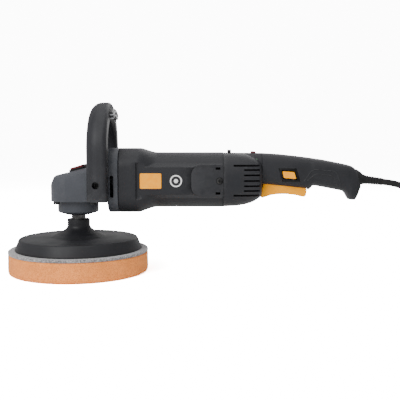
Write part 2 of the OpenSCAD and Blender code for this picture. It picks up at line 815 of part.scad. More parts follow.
module lock_button_frame() {
    color("#1d1d1f") difference() {
        out_of_side(0, grip_half_w - 3, 0) linear_extrude(3.5) lock_frame_outline(0);
        out_of_side(0, 5, 0) linear_extrude(30) offset(delta = 0.35) translate(lock_on_at)
            polygon([[-8.7, 5], [6.5, 3.8], [9, -5], [-6.7, -3.7]]);
    }
}

// Along the lead's straight way out of the grip; 0 is the end of the sleeve, less than 0 is further in.
module along_cord(s) {
    translate(cord_exit) rotate([0, 90 + cord_dip, 0]) translate([0, 0, s]) children();
}

module strain_relief() {
    color("#232325") along_cord(0) rotate_extrude() polygon([[cord_d / 2, -39], [10, -39], [10, -36], [6.9, -36],
        [6.9, -31.5], [9.8, -31.5], [9.8, -30], [5.6, -22], [5.2, -20], [4.8, -2], [4.6, 0], [cord_d / 2, 0]]);
    color("#161617") along_cord(-64) cylinder(r = cord_d / 2 - 0.02, h = 64);
}

module cord_clamp() {
    color("#232325") along_cord(-58) difference() {
        translate([-6.5, -11, 0]) cube([13, 22, 5]);
        translate([0, 0, -slack]) cylinder(r = cord_d / 2, h = 7);
    }
}

function smooth(route, k) = let (i = floor(k), t = k - i, n = len(route) - 1,
    a = route[max(i - 1, 0)], b = route[i], c = route[min(i + 1, n)], d = route[min(i + 2, n)])
    0.5 * (2 * b + (c - a) * t + (2 * a - 5 * b + 4 * c - d) * t * t + (3 * b - a - 3 * c + d) * t * t * t);

// Sweeps a round tube along a route that never runs along Y for long.
module cord_tube(route) {
    sides = 10;
    steps = 2 * (len(route) - 1);
    path = [for (s = [0:steps]) smooth(route, s / 2)];
    ahead = [for (s = [0:steps]) path[min(s + 1, steps)] - path[max(s - 1, 0)]];
    rings = [for (s = [0:steps]) let (t = ahead[s] / norm(ahead[s]), u0 = cross(t, [0.2, 0.3, 1]),
        u = u0 / norm(u0), v = cross(t, u)) [for (a = [0:sides - 1])
        path[s] + cord_d / 2 * (u * cos(a * 360 / sides) + v * sin(a * 360 / sides))]];
    polyhedron([for (r = rings, p = r) p], concat([[for (a = [0:sides - 1]) a]],
        [[for (a = [sides - 1:-1:0]) steps * sides + a]],
        [for (s = [0:steps - 1], a = [0:sides - 1]) [s * sides + a, (s + 1) * sides + a,
            (s + 1) * sides + (a + 1) % sides, s * sides + (a + 1) % sides]]));
}

module cord_lead() {
    color("#161617") cord_tube(lead_route);
    color("#161617") cord_tube(tail_route);
}

module cord_coil() {
    half_w = coil_columns * turn_pitch / 2;
    color("#161617") translate([coil_at[0], coil_at[1], coil_base_z]) ring(coil_middle_r + half_w,
        coil_middle_r - half_w, coil_h);
    color("#3c3d40") translate([coil_at[0], coil_at[1], 0]) intersection() {
        difference() {
            ring(coil_middle_r + half_w + 1, coil_middle_r - half_w - 1, coil_base_z + coil_h + 1);
            translate([0, 0, coil_base_z]) ring(coil_middle_r + half_w, coil_middle_r - half_w, coil_h);
        }
        translate([-7, -90, -slack]) cube([14, 80, 60]);
    }
}

module plug_body() {
    color("#161617") translate(plug_at) rotate([90, 0, 0]) union() {
        translate([0, 0, plug_len - 14]) linear_extrude(14) polygon(round_square(17.5, 13, 11));
        hull() {
            translate([0, 0, 16]) cylinder(r = 9, h = 1, $fn = 32);
            translate([0, 0, plug_len - 14]) linear_extrude(0.5) polygon(round_square(15, 12, 10));
        }
        translate([0, 0, 0]) cylinder(r1 = 5.5, r2 = 9, h = 16.5);
    }
}

module plug_pins() {
    color("silver") translate(plug_at) rotate([90, 0, 0]) for (side = [-1, 1])
        translate([side * pin_spacing / 2, 0, plug_len]) cylinder(r = pin_r, h = 19);
}

foam_pad();
loop_layer();
backing_plate();
threaded_insert();
spindle();
bevel_wheel();
wheel_key_and_circlip();
lower_bearing();
bearing_retainer();
dust_seal();
upper_bush();
bearing_box();
bearing_box_screws();
gear_housing();
spindle_lock_button();
lock_spring();
lock_button_base();
loop_handle();
handle_inlay();
grip_insert();
handle_bolts();
front_bearing();
front_bearing_plate();
armature_shaft();
bevel_pinion();
cooling_fan();
armature_core();
armature_windings();
commutator();
fan_baffle();
stator_core();
field_coils();
rear_bearing();
rear_bearing_bush();
motor_housing();
housing_screws();
brush_holders();
carbon_brushes();
brush_covers();
brush_cover_screws();
badge_plates();
rear_housing_left();
rear_housing_right();
rear_housing_screws();
speed_controller();
speed_dial();
power_lamp();
trigger_switch();
switch_plunger();
trigger();
trigger_pin();
trigger_spring();
lock_on_button();
lock_button_frame();
strain_relief();
cord_clamp();
cord_lead();
cord_coil();
plug_body();
plug_pins();
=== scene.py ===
import math

import bmesh
import bpy
from mathutils import Matrix, Vector, noise


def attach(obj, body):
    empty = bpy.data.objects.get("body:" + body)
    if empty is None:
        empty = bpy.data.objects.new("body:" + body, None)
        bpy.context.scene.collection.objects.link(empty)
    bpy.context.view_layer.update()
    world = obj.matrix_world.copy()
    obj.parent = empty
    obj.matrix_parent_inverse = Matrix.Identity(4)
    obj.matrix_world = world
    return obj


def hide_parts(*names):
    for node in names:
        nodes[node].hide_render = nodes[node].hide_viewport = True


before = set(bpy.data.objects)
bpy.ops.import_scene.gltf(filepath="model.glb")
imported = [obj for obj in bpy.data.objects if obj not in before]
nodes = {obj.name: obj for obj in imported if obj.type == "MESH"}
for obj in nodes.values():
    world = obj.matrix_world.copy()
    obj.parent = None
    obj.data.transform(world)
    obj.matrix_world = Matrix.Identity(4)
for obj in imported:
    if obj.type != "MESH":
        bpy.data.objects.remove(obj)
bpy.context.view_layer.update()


# ---- Camera ----
# It stands to the left of the polisher, a little above the motor and looking slightly down, so the
# whole machine shows from the gear head to the end of the strain relief.
def put(name, data):
    """A new object in the scene."""
    made = bpy.data.objects.new(name, data)
    bpy.context.collection.objects.link(made)
    return made


camera = put("camera", bpy.data.cameras.new("camera"))
camera.location = (0.1575, -0.820, 0.165)
camera.rotation_euler = (math.pi / 2 - 0.089, 0, 0)
camera.data.sensor_width = 36
camera.data.lens = 57.2
camera.data.clip_start = 0.01
bpy.context.scene.camera = camera


# ---- Mains lead ----
# Two-core rubber lead, 8.5 mm thick and about 4 m long. It falls from the sleeve at the end of the
# grip and runs into a coil of four layers, up to three turns side by side. Its end lies on top of the
# coil with the plug.
lead_r = 0.00425
turn_gap = 0.0086
coil_middle = (0.490, -0.059)
coil_outer = 0.0591
coil_low = 0.0053
coil_start_angle = 60
lead_exit = (0.393, 0, 0.1156)
falling_way = [(393, 0, 115.6), (404, 0, 114), (416, 0, 111), (427, 0, 106), (437, 0, 98), (445, 1, 87),
               (450, 2.5, 74), (454, 4.5, 60), (458, 7, 46), (463, 9.5, 33), (470, 11, 21), (480, 10, 12),
               (491.3, 6.3, 7), (502, 1.6, 5.4), (511, -2.9, 5.3)]
way_to_plug = [(515.3, -6, 43.4), (523.9, -12.6, 45), (530.4, -21.2, 46.6), (534.6, -31.2, 48),
               (536, -39.5, 48.4), (536, -45.5, 48.4)]


def in_metres(points):
    """Points that are given in millimetres."""
    return [tuple(value / 1000 for value in point) for point in points]


def eased(value, start, end):
    """0 before start, 1 after end, with a soft run between."""
    share = min(1, max(0, (value - start) / (end - start)))
    return share * share * (3 - 2 * share)


def coil_point(turned):
    """Place on the coil after so many degrees; a turn moves over or climbs sooner than the one before."""
    radius, height = coil_outer, coil_low
    for turn in range(11):
        layer, column = divmod(turn, 3)
        start = 360 * turn + 270 - 45 * (2 * layer + (column == 2))
        moved = turn_gap * eased(turned, start, start + 90)
        if column == 2:
            height += moved
        else:
            radius += moved if layer % 2 else -moved
    height += turn_gap * eased(turned, 3915, 4005) + 0.0023 * eased(turned, 4250, 4320)
    angle = math.radians(coil_start_angle - turned)
    return (coil_middle[0] + radius * math.cos(angle), coil_middle[1] + radius * math.sin(angle), height)


coil_end = 11 * 360 + 345
lead_points = in_metres(falling_way) + [coil_point(angle) for angle in range(0, coil_end + 1, 15)]
lead_points += in_metres(way_to_plug)
lead_curve = bpy.data.curves.new("mains_lead", "CURVE")
lead_curve.dimensions = "3D"
lead_curve.bevel_depth = lead_r
lead_curve.bevel_resolution = 5
lead_curve.resolution_u = 4
lead_curve.use_fill_caps = True
spline = lead_curve.splines.new("BEZIER")
spline.bezier_points.add(len(lead_points) - 1)
for knot, place in zip(spline.bezier_points, lead_points):
    knot.co = place
    knot.handle_left_type = knot.handle_right_type = "AUTO"
mains_lead = put("mains_lead", lead_curve)


def node_group(name, inputs, outputs):
    """An empty shader group with float inputs (name, default) and outputs (name, socket type)."""
    group = bpy.data.node_groups.new(name, "ShaderNodeTree")
    for label, value in inputs:
        group.interface.new_socket(label, in_out="INPUT", socket_type="NodeSocketFloat").default_value = value
    for label, kind in outputs:
        group.interface.new_socket(label, in_out="OUTPUT", socket_type=kind)
    return group, group.nodes.new("NodeGroupInput"), group.nodes.new("NodeGroupOutput")


def add_node(tree, kind, values=(), **settings):
    """A shader node with its settings, and with (input, value) pairs set."""
    made = tree.nodes.new("ShaderNode" + kind)
    for label, value in settings.items():
        setattr(made, label, value)
    for label, value in values:
        made.inputs[label].default_value = value
    return made


def wire(*rows):
    """Joins nodes; a row names a node, its output, the next node and its input."""
    for source, out, target, into in rows:
        source.id_data.links.new(source.outputs[out], target.inputs[into])


def ramp(tree, *stops):
    """A colour ramp between two stops, each a position and three values."""
    made = tree.nodes.new("ShaderNodeValToRGB")
    for element, (position, *colour) in zip(made.color_ramp.elements, stops):
        element.position, element.color = position, (*colour, 1)
    return made


def blank(name, values=()):
    """A new material with its tree and its shader, whose inputs are set from (input, value) pairs."""
    material = bpy.data.materials.new(name)
    material.use_nodes = True
    shader = material.node_tree.nodes["Principled BSDF"]
    for label, value in values:
        shader.inputs[label].default_value = value
    return material, material.node_tree, shader


def remap(tree, low=0.0, high=1.0, to_low=0.0, to_high=1.0):
    """A node that spreads the values from low to high over another range."""
    return add_node(tree, "MapRange", [("From Min", low), ("From Max", high), ("To Min", to_low),
                                       ("To Max", to_high)])


def rgba(tone):
    """A colour from three values, or from one for a grey."""
    return (*(tone if isinstance(tone, tuple) else (tone,) * 3), 1)


def grain_group():
    """Moulded or cast grain: fine pebbles and a slow unevenness, as one mask and one height."""
    group, given, made = node_group("surface_grain", [("Scale", 900), ("Unevenness Scale", 25)],
                                    [("Grain", "NodeSocketFloat"), ("Patches", "NodeSocketFloat")])
    place = add_node(group, "TexCoord")
    pebbles = add_node(group, "TexNoise", [("Detail", 3), ("Roughness", 0.6)])
    patches = add_node(group, "TexNoise", [("Detail", 4), ("Roughness", 0.55)])
    for texture, scale, out in ((pebbles, "Scale", "Grain"), (patches, "Unevenness Scale", "Patches")):
        wire((place, "Object", texture, "Vector"), (given, scale, texture, "Scale"),
             (texture, "Fac", made, out))
    return group


def wear_group():
    """Rubbed edges: a mask along convex edges, broken up so that it never runs evenly."""
    group, given, made = node_group("edge_wear", [("Start", 0.505), ("End", 0.56), ("Scale", 160)],
                                    [("Wear", "NodeSocketFloat")])
    shape = add_node(group, "NewGeometry")
    edge = remap(group)
    place = add_node(group, "TexCoord")
    breakup = add_node(group, "TexNoise", [("Detail", 5), ("Roughness", 0.7)])
    spread = remap(group, 0.35, 0.62)
    both = add_node(group, "Math", operation="MULTIPLY")
    wire((shape, "Pointiness", edge, "Value"), (given, "Start", edge, "From Min"),
         (given, "End", edge, "From Max"), (place, "Object", breakup, "Vector"),
         (given, "Scale", breakup, "Scale"), (breakup, "Fac", spread, "Value"), (edge, "Result", both, 0),
         (spread, "Result", both, 1), (both, "Value", made, "Wear"))
    return group


surface_grain = grain_group()
edge_wear = wear_group()


def finish(name, colour, second, worn, roughness, grain_scale, grain_depth, metallic=0.0, patch_scale=25.0,
           rough_spread=0.12, wear_amount=0.6, coat=0.0, specular=0.22):
    """A material whose colour drifts between two tones, is rubbed at the edges and has a fine grain."""
    material, tree, shader = blank(name, [("Metallic", metallic), ("Coat Weight", coat), ("Coat Roughness", 0.25),
                                          ("Specular IOR Level", specular)])
    grain = add_node(tree, "Group", node_tree=surface_grain)
    grain.inputs["Scale"].default_value = grain_scale
    grain.inputs["Unevenness Scale"].default_value = patch_scale
    wear = add_node(tree, "Group", node_tree=edge_wear)
    drift = add_node(tree, "Mix", [(6, rgba(colour)), (7, rgba(second))], data_type="RGBA")
    rubbed = add_node(tree, "Mix", [(7, rgba(worn))], data_type="RGBA")
    amount = add_node(tree, "Math", [(1, wear_amount)], operation="MULTIPLY")
    rough = remap(tree, 0.3, 0.7, roughness - rough_spread, roughness + rough_spread)
    tone = remap(tree, 0.35, 0.65)
    bump = add_node(tree, "Bump", [("Strength", 0.6), ("Distance", grain_depth)])
    wire((grain, "Patches", tone, "Value"), (tone, "Result", drift, 0), (drift, 2, rubbed, 6),
         (wear, "Wear", amount, 0), (amount, "Value", rubbed, 0), (rubbed, 2, shader, "Base Color"),
         (grain, "Patches", rough, "Value"), (rough, "Result", shader, "Roughness"),
         (grain, "Grain", bump, "Height"), (bump, "Normal", shader, "Normal"))
    return material


def wear_finish(piece, material):
    """Gives a piece or a CAD node this material alone."""
    piece.data.materials.clear()
    piece.data.materials.append(material)


lead_rubber = finish("lead_rubber", (0.006, 0.006, 0.0065), (0.010, 0.010, 0.0105), 0.02, 0.48, 700, 0.00012)
wear_finish(mains_lead, lead_rubber)
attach(mains_lead, "machine")
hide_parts("cord_lead", "cord_coil")


# ---- Coil tie ----
# A hook-and-loop strap, 14 mm wide, wrapped once round all the coil's turns and drawn tight over the
# last one on top.
def as_mesh(name, bm):
    """A mesh made of a bmesh, which is then freed."""
    mesh = bpy.data.meshes.new(name)
    bm.to_mesh(mesh)
    bm.free()
    return mesh


def make_piece(name, bm, body, material, stands_for=(), sharp=35):
    """Turns a bmesh into a smooth-shaded piece on its body, with a finish and the nodes it stands for."""
    bmesh.ops.remove_doubles(bm, verts=bm.verts, dist=1e-7)
    bmesh.ops.recalc_face_normals(bm, faces=bm.faces)
    piece = put(name, as_mesh(name, bm))
    piece.data.shade_smooth()
    piece.data.set_sharp_from_angle(angle=math.radians(sharp))
    wear_finish(piece, material)
    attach(piece, body)
    if stands_for:
        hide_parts(*stands_for)
    return piece


def bevelled(piece, width, steps=3, angle=32):
    """Rounds every edge that turns more than the angle."""
    bevel = piece.modifiers.new("rounding", "BEVEL")
    bevel.width, bevel.segments, bevel.harden_normals = width, steps, True
    bevel.limit_method, bevel.angle_limit = "ANGLE", math.radians(angle)
    return piece


def rounded(points, reach, steps=5, closed=True):
    """A 2-D outline with each corner turned into a curve that starts reach before it."""
    points = [Vector(p) for p in points]
    made = []
    for i, corner in enumerate(points):
        if not closed and i in (0, len(points) - 1):
            made.append(tuple(corner))
            continue
        before, after = points[i - 1] - corner, points[(i + 1) % len(points)] - corner
        used = min(reach, before.length * 0.48, after.length * 0.48)
        first, last = corner + before.normalized() * used, corner + after.normalized() * used
        for k in range(steps + 1):
            t = k / steps
            made.append(tuple(first * (1 - t) ** 2 + corner * 2 * t * (1 - t) + last * t * t))
    return made


def loft(rings, capped=True, closed=False):
    """A bmesh skin over rings of equally many points; closed joins the last ring to the first."""
    bm = bmesh.new()
    made = [[bm.verts.new(p) for p in ring] for ring in rings]
    count = len(rings[0])
    pairs = list(zip(made, made[1:])) + ([(made[-1], made[0])] if closed else [])
    for near, far in pairs:
        for i in range(count):
            j = (i + 1) % count
            bm.faces.new((near[i], near[j], far[j], far[i]))
    if capped and not closed:
        bm.faces.new(made[0][::-1])
        bm.faces.new(made[-1])
    return bm


strap_half = 0.007
strap_hug = rounded(in_metres([(37.6, 0.8), (63.4, 0.8), (63.4, 44.1), (56.3, 44.1), (37.6, 35.7)]), 0.003)
strap_out = rounded(in_metres([(36.7, 0.1), (64.3, 0.1), (64.3, 44.9), (56.1, 44.9), (36.7, 36.3)]), 0.0033)
strap_rings = [[(coil_middle[0] + across, coil_middle[1] - out, up)
                for across, (out, up) in ((-strap_half, hug), (strap_half, hug), (strap_half, outer),
                                          (-strap_half, outer))] for hug, outer in zip(strap_hug, strap_out)]
strap_fabric = finish("strap_fabric", (0.045, 0.046, 0.05), (0.07, 0.07, 0.075), 0.1, 0.85, 2200, 0.0003)
coil_tie = make_piece("coil_tie", loft(strap_rings, closed=True), "machine", strap_fabric)
bevelled(coil_tie, 0.0003)


# ---- Plug ----
# A moulded rubber plug with a ribbed neck and a wider face, and two round brass pins with a bright
# nickel finish. It lies on the coil.
def superellipse(half_u, half_v, power, count=48):
    """Points of a rounded outline between an ellipse (power 2) and a rectangle (power 6 or more)."""
    made = []
    for i in range(count):
        t = 2 * math.pi * i / count
        c, s = math.cos(t), math.sin(t)
        made.append((half_u * math.copysign(abs(c) ** (2 / power), c),
                     half_v * math.copysign(abs(s) ** (2 / power), s)))
    return made


plug_x, plug_z, plug_top_y = 0.536, 0.0484, -0.045
plug_sections = [(0, 4.4, 4.4, 2), (0.6, 5.4, 5.4, 2), (3, 6, 6, 2), (3.6, 5.2, 5.2, 2), (5, 5.3, 5.3, 2),
                 (5.6, 6.6, 6.6, 2), (8, 6.9, 6.9, 2), (8.6, 6.0, 6.0, 2), (10, 6.1, 6.1, 2), (10.6, 7.6, 7.6, 2),
                 (13.5, 8.4, 8.4, 2), (17, 9.6, 9.2, 2.1), (22, 11.8, 10.2, 2.3), (27, 14.4, 11.4, 2.5),
                 (30.4, 16.4, 12.4, 2.7), (31, 17.2, 12.9, 2.8), (43.4, 17.4, 12.9, 2.8), (44.7, 16.6, 12.2, 2.8),
                 (45, 15.6, 11.3, 2.8)]
plug_rings = [[(plug_x + u / 1000, plug_top_y - along / 1000, plug_z + v / 1000)
               for u, v in superellipse(half_u, half_v, power)] for along, half_u, half_v, power in plug_sections]
plug_shell = make_piece("plug_shell", loft(plug_rings), "machine", lead_rubber, ["plug_body"],
                        sharp=40)


def turned(profile, steps=96, closed=False):
    """A bmesh turned round Z from (radius, height) points; a closed profile makes a hollow ring."""
    bm = bmesh.new()
    rings = []
    for radius, height in profile:
        count = steps if radius > 1e-7 else 1
        rings.append([bm.verts.new((radius * math.cos(2 * math.pi * i / steps),
                                    radius * math.sin(2 * math.pi * i / steps), height)) for i in range(count)])
    pairs = list(zip(rings, rings[1:])) + ([(rings[-1], rings[0])] if closed else [])
    for low, high in pairs:
        for i in range(steps):
            j = (i + 1) % steps
            corners = [low[i % len(low)], low[j % len(low)], high[j % len(high)], high[i % len(high)]]
            corners = list(dict.fromkeys(corners))
            if len(corners) > 2:
                bm.faces.new(corners)
    return bm


def placed(bm, matrix):
    """The bmesh after a move or a turn."""
    bmesh.ops.transform(bm, matrix=matrix, verts=bm.verts)
    return bm


def posed(x, y, z, turn=0.0, axis="X"):
    """A move to a place after a turn about an axis."""
    return Matrix.Translation((x, y, z)) @ Matrix.Rotation(turn, 4, axis)


def rod(radius, start, end, steps=32):
    """A plain round bar along Z."""
    return turned([(0, start), (radius, start), (radius, end), (0, end)], steps)


def joined(meshes):
    """Several bmeshes as one."""
    whole = bmesh.new()
    for bm in meshes:
        mesh = as_mesh("part", bm)
        whole.from_mesh(mesh)
        bpy.data.meshes.remove(mesh)
    return whole


pin_profile = [(0, 0), (0.0024, 0), (0.0024, 0.0168), (0.0021, 0.0182), (0.0014, 0.0189), (0, 0.019)]
pins = joined([placed(turned(pin_profile, 32), posed(plug_x + side * 0.0095, -0.090, plug_z, math.pi / 2))
               for side in (-1, 1)])
nickel = finish("nickel", (0.62, 0.60, 0.56), (0.52, 0.50, 0.46), (0.7, 0.68, 0.6), 0.25, 1500, 0.00003,
                metallic=1.0)
plug_pin_pair = make_piece("plug_pin_pair", pins, "machine", nickel, ["plug_pins"])


# ---- Foam pad ----
# A 180 mm disc of open-cell polyurethane foam, 25 mm thick, cut by a ring saw and skimmed flat. Its
# edge has crept outwards a little under the weight of the machine.
def foam_finish():
    """Peach foam full of small open cells."""
    material, tree, shader = blank("orange_foam", [("Roughness", 0.95), ("Specular IOR Level", 0.2),
                                                   ("Sheen Weight", 0.05)])
    place = add_node(tree, "TexCoord")
    cells = add_node(tree, "TexVoronoi", [("Scale", 900)], feature="F1")
    clouds = add_node(tree, "TexNoise", [("Scale", 38), ("Detail", 6), ("Roughness", 0.65)])
    pores = ramp(tree, (0.12, 0.62, 0.14, 0.02), (0.55, 1.0, 0.36, 0.09))
    tone = ramp(tree, (0.3, 0.82, 0.80, 0.78), (0.7, 1, 1, 1))
    tint = add_node(tree, "Mix", [(0, 1)], data_type="RGBA", blend_type="MULTIPLY")
    bump = add_node(tree, "Bump", [("Strength", 0.8), ("Distance", 0.0008)])
    wire((place, "Object", cells, "Vector"), (place, "Object", clouds, "Vector"),
         (cells, "Distance", pores, "Fac"), (clouds, "Fac", tone, "Fac"), (pores, "Color", tint, 6),
         (tone, "Color", tint, 7), (tint, 2, shader, "Base Color"), (cells, "Distance", bump, "Height"),
         (bump, "Normal", shader, "Normal"))
    return material


foam_profile = [(r, 0) for r in (0, 15, 30, 45, 60, 72, 80, 85)]
foam_profile += [(87.2, 0.3), (88.7, 1.2), (89.6, 3), (89.9, 6), (89.9, 10), (89.7, 14.5), (89.6, 19), (89.7, 22.5),
                 (89.3, 24.5)]
foam_profile += [(r, 25.5) for r in (88, 80, 60, 40, 20, 0)]
foam = turned(in_metres(foam_profile), 160)
for vert in foam.verts:
    if vert.co.z > 0.002 and vert.co.to_2d().length > 0.08:
        swell = noise.noise(vert.co * 45) * 0.00025 - 0.0002
        vert.co += Vector((vert.co.x, vert.co.y, 0)).normalized() * swell
foam_disc = make_piece("foam_disc", foam, "spindle_group", foam_finish(), ["foam_pad"], sharp=60)


# ---- Hook-and-loop layer ----
# A grey needled fleece bonded to the back of the foam; its loops cling to the hooks on the backing
# plate, and its cut edge shows light fibres.
def fleece_finish():
    """Dark grey fleece flecked with lighter fibres."""
    material, tree, shader = blank("speckled_fleece", [("Roughness", 0.9), ("Sheen Weight", 0.4)])
    place = add_node(tree, "TexCoord")
    flecks = add_node(tree, "TexNoise", [("Scale", 620), ("Detail", 4), ("Roughness", 0.75)])
    fibres = ramp(tree, (0.40, 0.05, 0.05, 0.055), (0.66, 0.46, 0.45, 0.45))
    bump = add_node(tree, "Bump", [("Strength", 1.0), ("Distance", 0.0006)])
    wire((place, "Object", flecks, "Vector"), (flecks, "Fac", fibres, "Fac"),
         (fibres, "Color", shader, "Base Color"), (flecks, "Fac", bump, "Height"),
         (bump, "Normal", shader, "Normal"))
    return material


foam_top, fleece_r, fleece_top = 0.0255, 0.0895, 0.029
fleece_profile = [(0, foam_top), (0.05, foam_top), (fleece_r - 0.0008, foam_top), (fleece_r, foam_top + 0.0008),
                  (fleece_r, fleece_top - 0.0008), (fleece_r - 0.0007, fleece_top), (0.06, fleece_top),
                  (0, fleece_top)]
fleece = turned(fleece_profile, 160)
for vert in fleece.verts:
    if vert.co.to_2d().length > 0.088:
        vert.co.xy *= 1 + 0.0022 * noise.noise(vert.co * 260)
make_piece("fleece_disc", fleece, "spindle_group", fleece_finish(), ["loop_layer"])


# ---- Backing plate ----
# A moulded polyurethane plate that flares up into a hub round the steel insert with the spindle
# thread. Its top is smooth, with a rolled rim.
plate_profile = rounded([(0, 29), (81.4, 29), (75.7, 43.5), (36, 44.5), (32, 46.4), (28, 48), (25, 50), (21, 52),
                         (17, 54.8), (14.5, 58), (14.5, 68), (11, 68), (11, 36), (0, 36)], 1.6, 4, closed=False)
plate_rubber = finish("plate_rubber", (0.010, 0.010, 0.012), (0.015, 0.015, 0.0175), 0.02, 0.52,
                      1100, 0.0001, rough_spread=0.1)
make_piece("plate_disc", turned(in_metres(plate_profile), 128), "spindle_group", plate_rubber,
           ["backing_plate"], sharp=30)


# ---- Spindle group ----
# The turned steel spindle with its two wrench flats, the threaded insert in the plate, and the bevel
# wheel above them. The spindle is blackened, the wheel is case-hardened grey.
black_steel = finish("black_steel", (0.016, 0.016, 0.017), (0.03, 0.029, 0.029), (0.16, 0.155, 0.15), 0.38, 1400,
                     0.00004, metallic=0.85)
ground_steel = finish("ground_steel", 0.50, (0.42, 0.42, 0.43), 0.7, 0.28, 1800, 0.00003,
                      metallic=1.0)
gear_steel = finish("gear_steel", (0.26, 0.26, 0.27), (0.20, 0.20, 0.21), 0.5, 0.35, 1200, 0.00004,
                    metallic=1.0)


def dress(material, *names):
    """Gives CAD nodes a material."""
    for name in names:
        wear_finish(nodes[name], material)


dress(black_steel, "spindle", "bearing_retainer")
dress(ground_steel, "threaded_insert", "lower_bearing", "front_bearing", "rear_bearing", "wheel_key_and_circlip",
      "armature_shaft", "lock_spring", "trigger_spring", "trigger_pin", "housing_screws", "rear_housing_screws",
      "front_bearing_plate")
dress(gear_steel, "bevel_wheel", "bevel_pinion")


# ---- Bearing box ----
# An aluminium casting under the head that holds the lower bearing and the seal. It is painted like
# the head and held by four black cross-head screws.
cast_paint = finish("cast_paint", (0.040, 0.043, 0.051), (0.048, 0.051, 0.060), (0.09, 0.09, 0.095), 0.42, 650,
                    0.00016, patch_scale=30, rough_spread=0.06, wear_amount=0.5)
box_profile = rounded([(12, 76), (10, 76), (10, 73.4), (14, 73.4), (25, 76.8), (26, 78.4), (26, 93), (17.5, 93),
                       (17.5, 79), (12, 79)], 0.8, 3)
box_ring = turned(in_metres(box_profile), 96, closed=True)


def arc(u, v, radius, start, end, steps):
    """Points round a middle, between two angles in degrees."""
    angles = [math.radians(start + (end - start) * i / steps) for i in range(steps + 1)]
    return [(u + radius * math.cos(a), v + radius * math.sin(a)) for a in angles]


def circle(u, v, radius, steps=32):
    """A round outline."""
    return arc(u, v, radius, 0, 360, steps)[:-1]


def plate_outline(half_u, half_v, corner, steps=8):
    """A rectangle with round corners."""
    made = []
    for k, (u, v) in enumerate(((1, 1), (-1, 1), (-1, -1), (1, -1))):
        made += arc(u * (half_u - corner), v * (half_v - corner), corner, 90 * k, 90 * k + 90, steps)
    return made


def box_outline(left, low, right, high):
    """A rectangle between two corners."""
    return [(left, low), (right, low), (right, high), (left, high)]


def prism(outline, start, end, place):
    """A bmesh of an outline pushed from start to end; place turns (u, v, depth) into a point."""
    return loft([[place(u, v, depth) for u, v in outline] for depth in (start, end)])


motor_z = 0.1185


def standing(u, v, depth):
    """An outline seen from above, in millimetres, pushed upwards."""
    return (u / 1000, v / 1000, depth / 1000)


def side_on(u, v, depth):
    """A side view: along the motor and up from its axis, in millimetres, pushed across the machine."""
    return (u / 1000, depth / 1000, motor_z + v / 1000)


def end_on(u, v, depth):
    """A view along the motor: across and up from its axis, in millimetres, pushed along it."""
    return (depth / 1000, u / 1000, motor_z + v / 1000)


def upright(u, v, depth):
    """A side view measured from the floor, in millimetres, pushed across the machine."""
    return (u / 1000, depth / 1000, v / 1000)


def side_pair(outline, near, far):
    """The same side-view block on the left and on the right of the machine's middle."""
    return [prism(outline, side * near, side * far, side_on) for side in (-1, 1)]


def baked(piece):
    """The piece with its modifiers made part of its mesh."""
    result = bpy.data.meshes.new_from_object(piece.evaluated_get(bpy.context.evaluated_depsgraph_get()))
    piece.modifiers.clear()
    piece.data = result
    return piece


def carved(piece, cutters, operation="DIFFERENCE"):
    """Cuts each bmesh out of the piece, or keeps or adds it, and shades the new edges sharp."""
    material = piece.data.materials[0]
    for bm in cutters:
        bmesh.ops.recalc_face_normals(bm, faces=bm.faces)
        mesh = as_mesh("cutter", bm)
        tool = put("cutter", mesh)
        cut = piece.modifiers.new("cut", "BOOLEAN")
        cut.operation, cut.solver, cut.object = operation, "EXACT", tool
        baked(piece)
        bpy.data.objects.remove(tool)
        bpy.data.meshes.remove(mesh)
    piece.data.shade_smooth()
    piece.data.set_sharp_from_angle(angle=math.radians(32))
    wear_finish(piece, material)
    return piece


bearing_housing = make_piece("bearing_housing", box_ring, "machine", cast_paint, ["bearing_box"])
box_flange = prism(plate_outline(28.5, 30, 12), 92, 94.95, standing)
carved(bearing_housing, [box_flange], "UNION")
carved(bearing_housing, [rod(0.01748, 0.090, 0.097, 64)])
black_screw = finish("black_screw", (0.006, 0.006, 0.0065), (0.01, 0.01, 0.0105), 0.06, 0.34, 1500,
                     0.00004, metallic=0.3, specular=0.15)
dress(black_screw, "bearing_box_screws", "handle_bolts", "brush_cover_screws")


# ---- Gear housing ----
# One die casting: a bevelled block over the gears whose roof climbs towards the motor, and the square
# flange that the motor bolts to. It is shot-blasted and painted satin grey; its edges are well rounded.
head_plan = [(46, -34)] + arc(-8.5, -10, 24, 270, 180, 16)
head_plan += [(u, -v) for u, v in head_plan[::-1]]
gear_head = make_piece("gear_head", prism(head_plan, 92, 150, standing), "machine", cast_paint,
                       ["gear_housing"])
roof_rise = math.radians(13.8)
nose_line = rounded([(-33.0, -40), (-31.7, -6.5), (-24, 6.5), (46, 6.5 + 70 * math.tan(roof_rise)),
                     (60, 6.5 + 70 * math.tan(roof_rise)), (60, -40)], 1.4, 4)
roof_gable = rounded([(-60, -80), (-60, -13), (-40, -8), (-22, 0), (22, 0), (40, -8), (60, -13), (60, -80)], 2.5, 4)
tilted = posed(-0.024, 0, 0.125, -roof_rise, "Y")
carved(gear_head, [prism(nose_line, -60, 60, side_on)], "INTERSECT")
carved(gear_head, [placed(prism(roof_gable, -60, 110, lambda u, v, d: (d / 1000, u / 1000, v / 1000)), tilted)],
       "INTERSECT")
bevelled(gear_head, 0.0018, 4, 21)
baked(gear_head)


def bell_outline(grow=0.0):
    """Rounded square of the bell, seen along the motor."""
    return plate_outline(39 + grow, 40.5 + grow, 24 + grow, 12)


flange_steps = [(42.5, -1.8), (42.8, -0.8), (43.5, -0.2), (44.4, 0), (55.3, 0), (55.7, -0.15), (55.9, -0.6)]
flange = loft([[end_on(u, v, x) for u, v in bell_outline(grow)] for x, grow in flange_steps])
carved(gear_head, [flange], "UNION")


motor_line = posed(0, 0, motor_z, math.pi / 2, "Y")


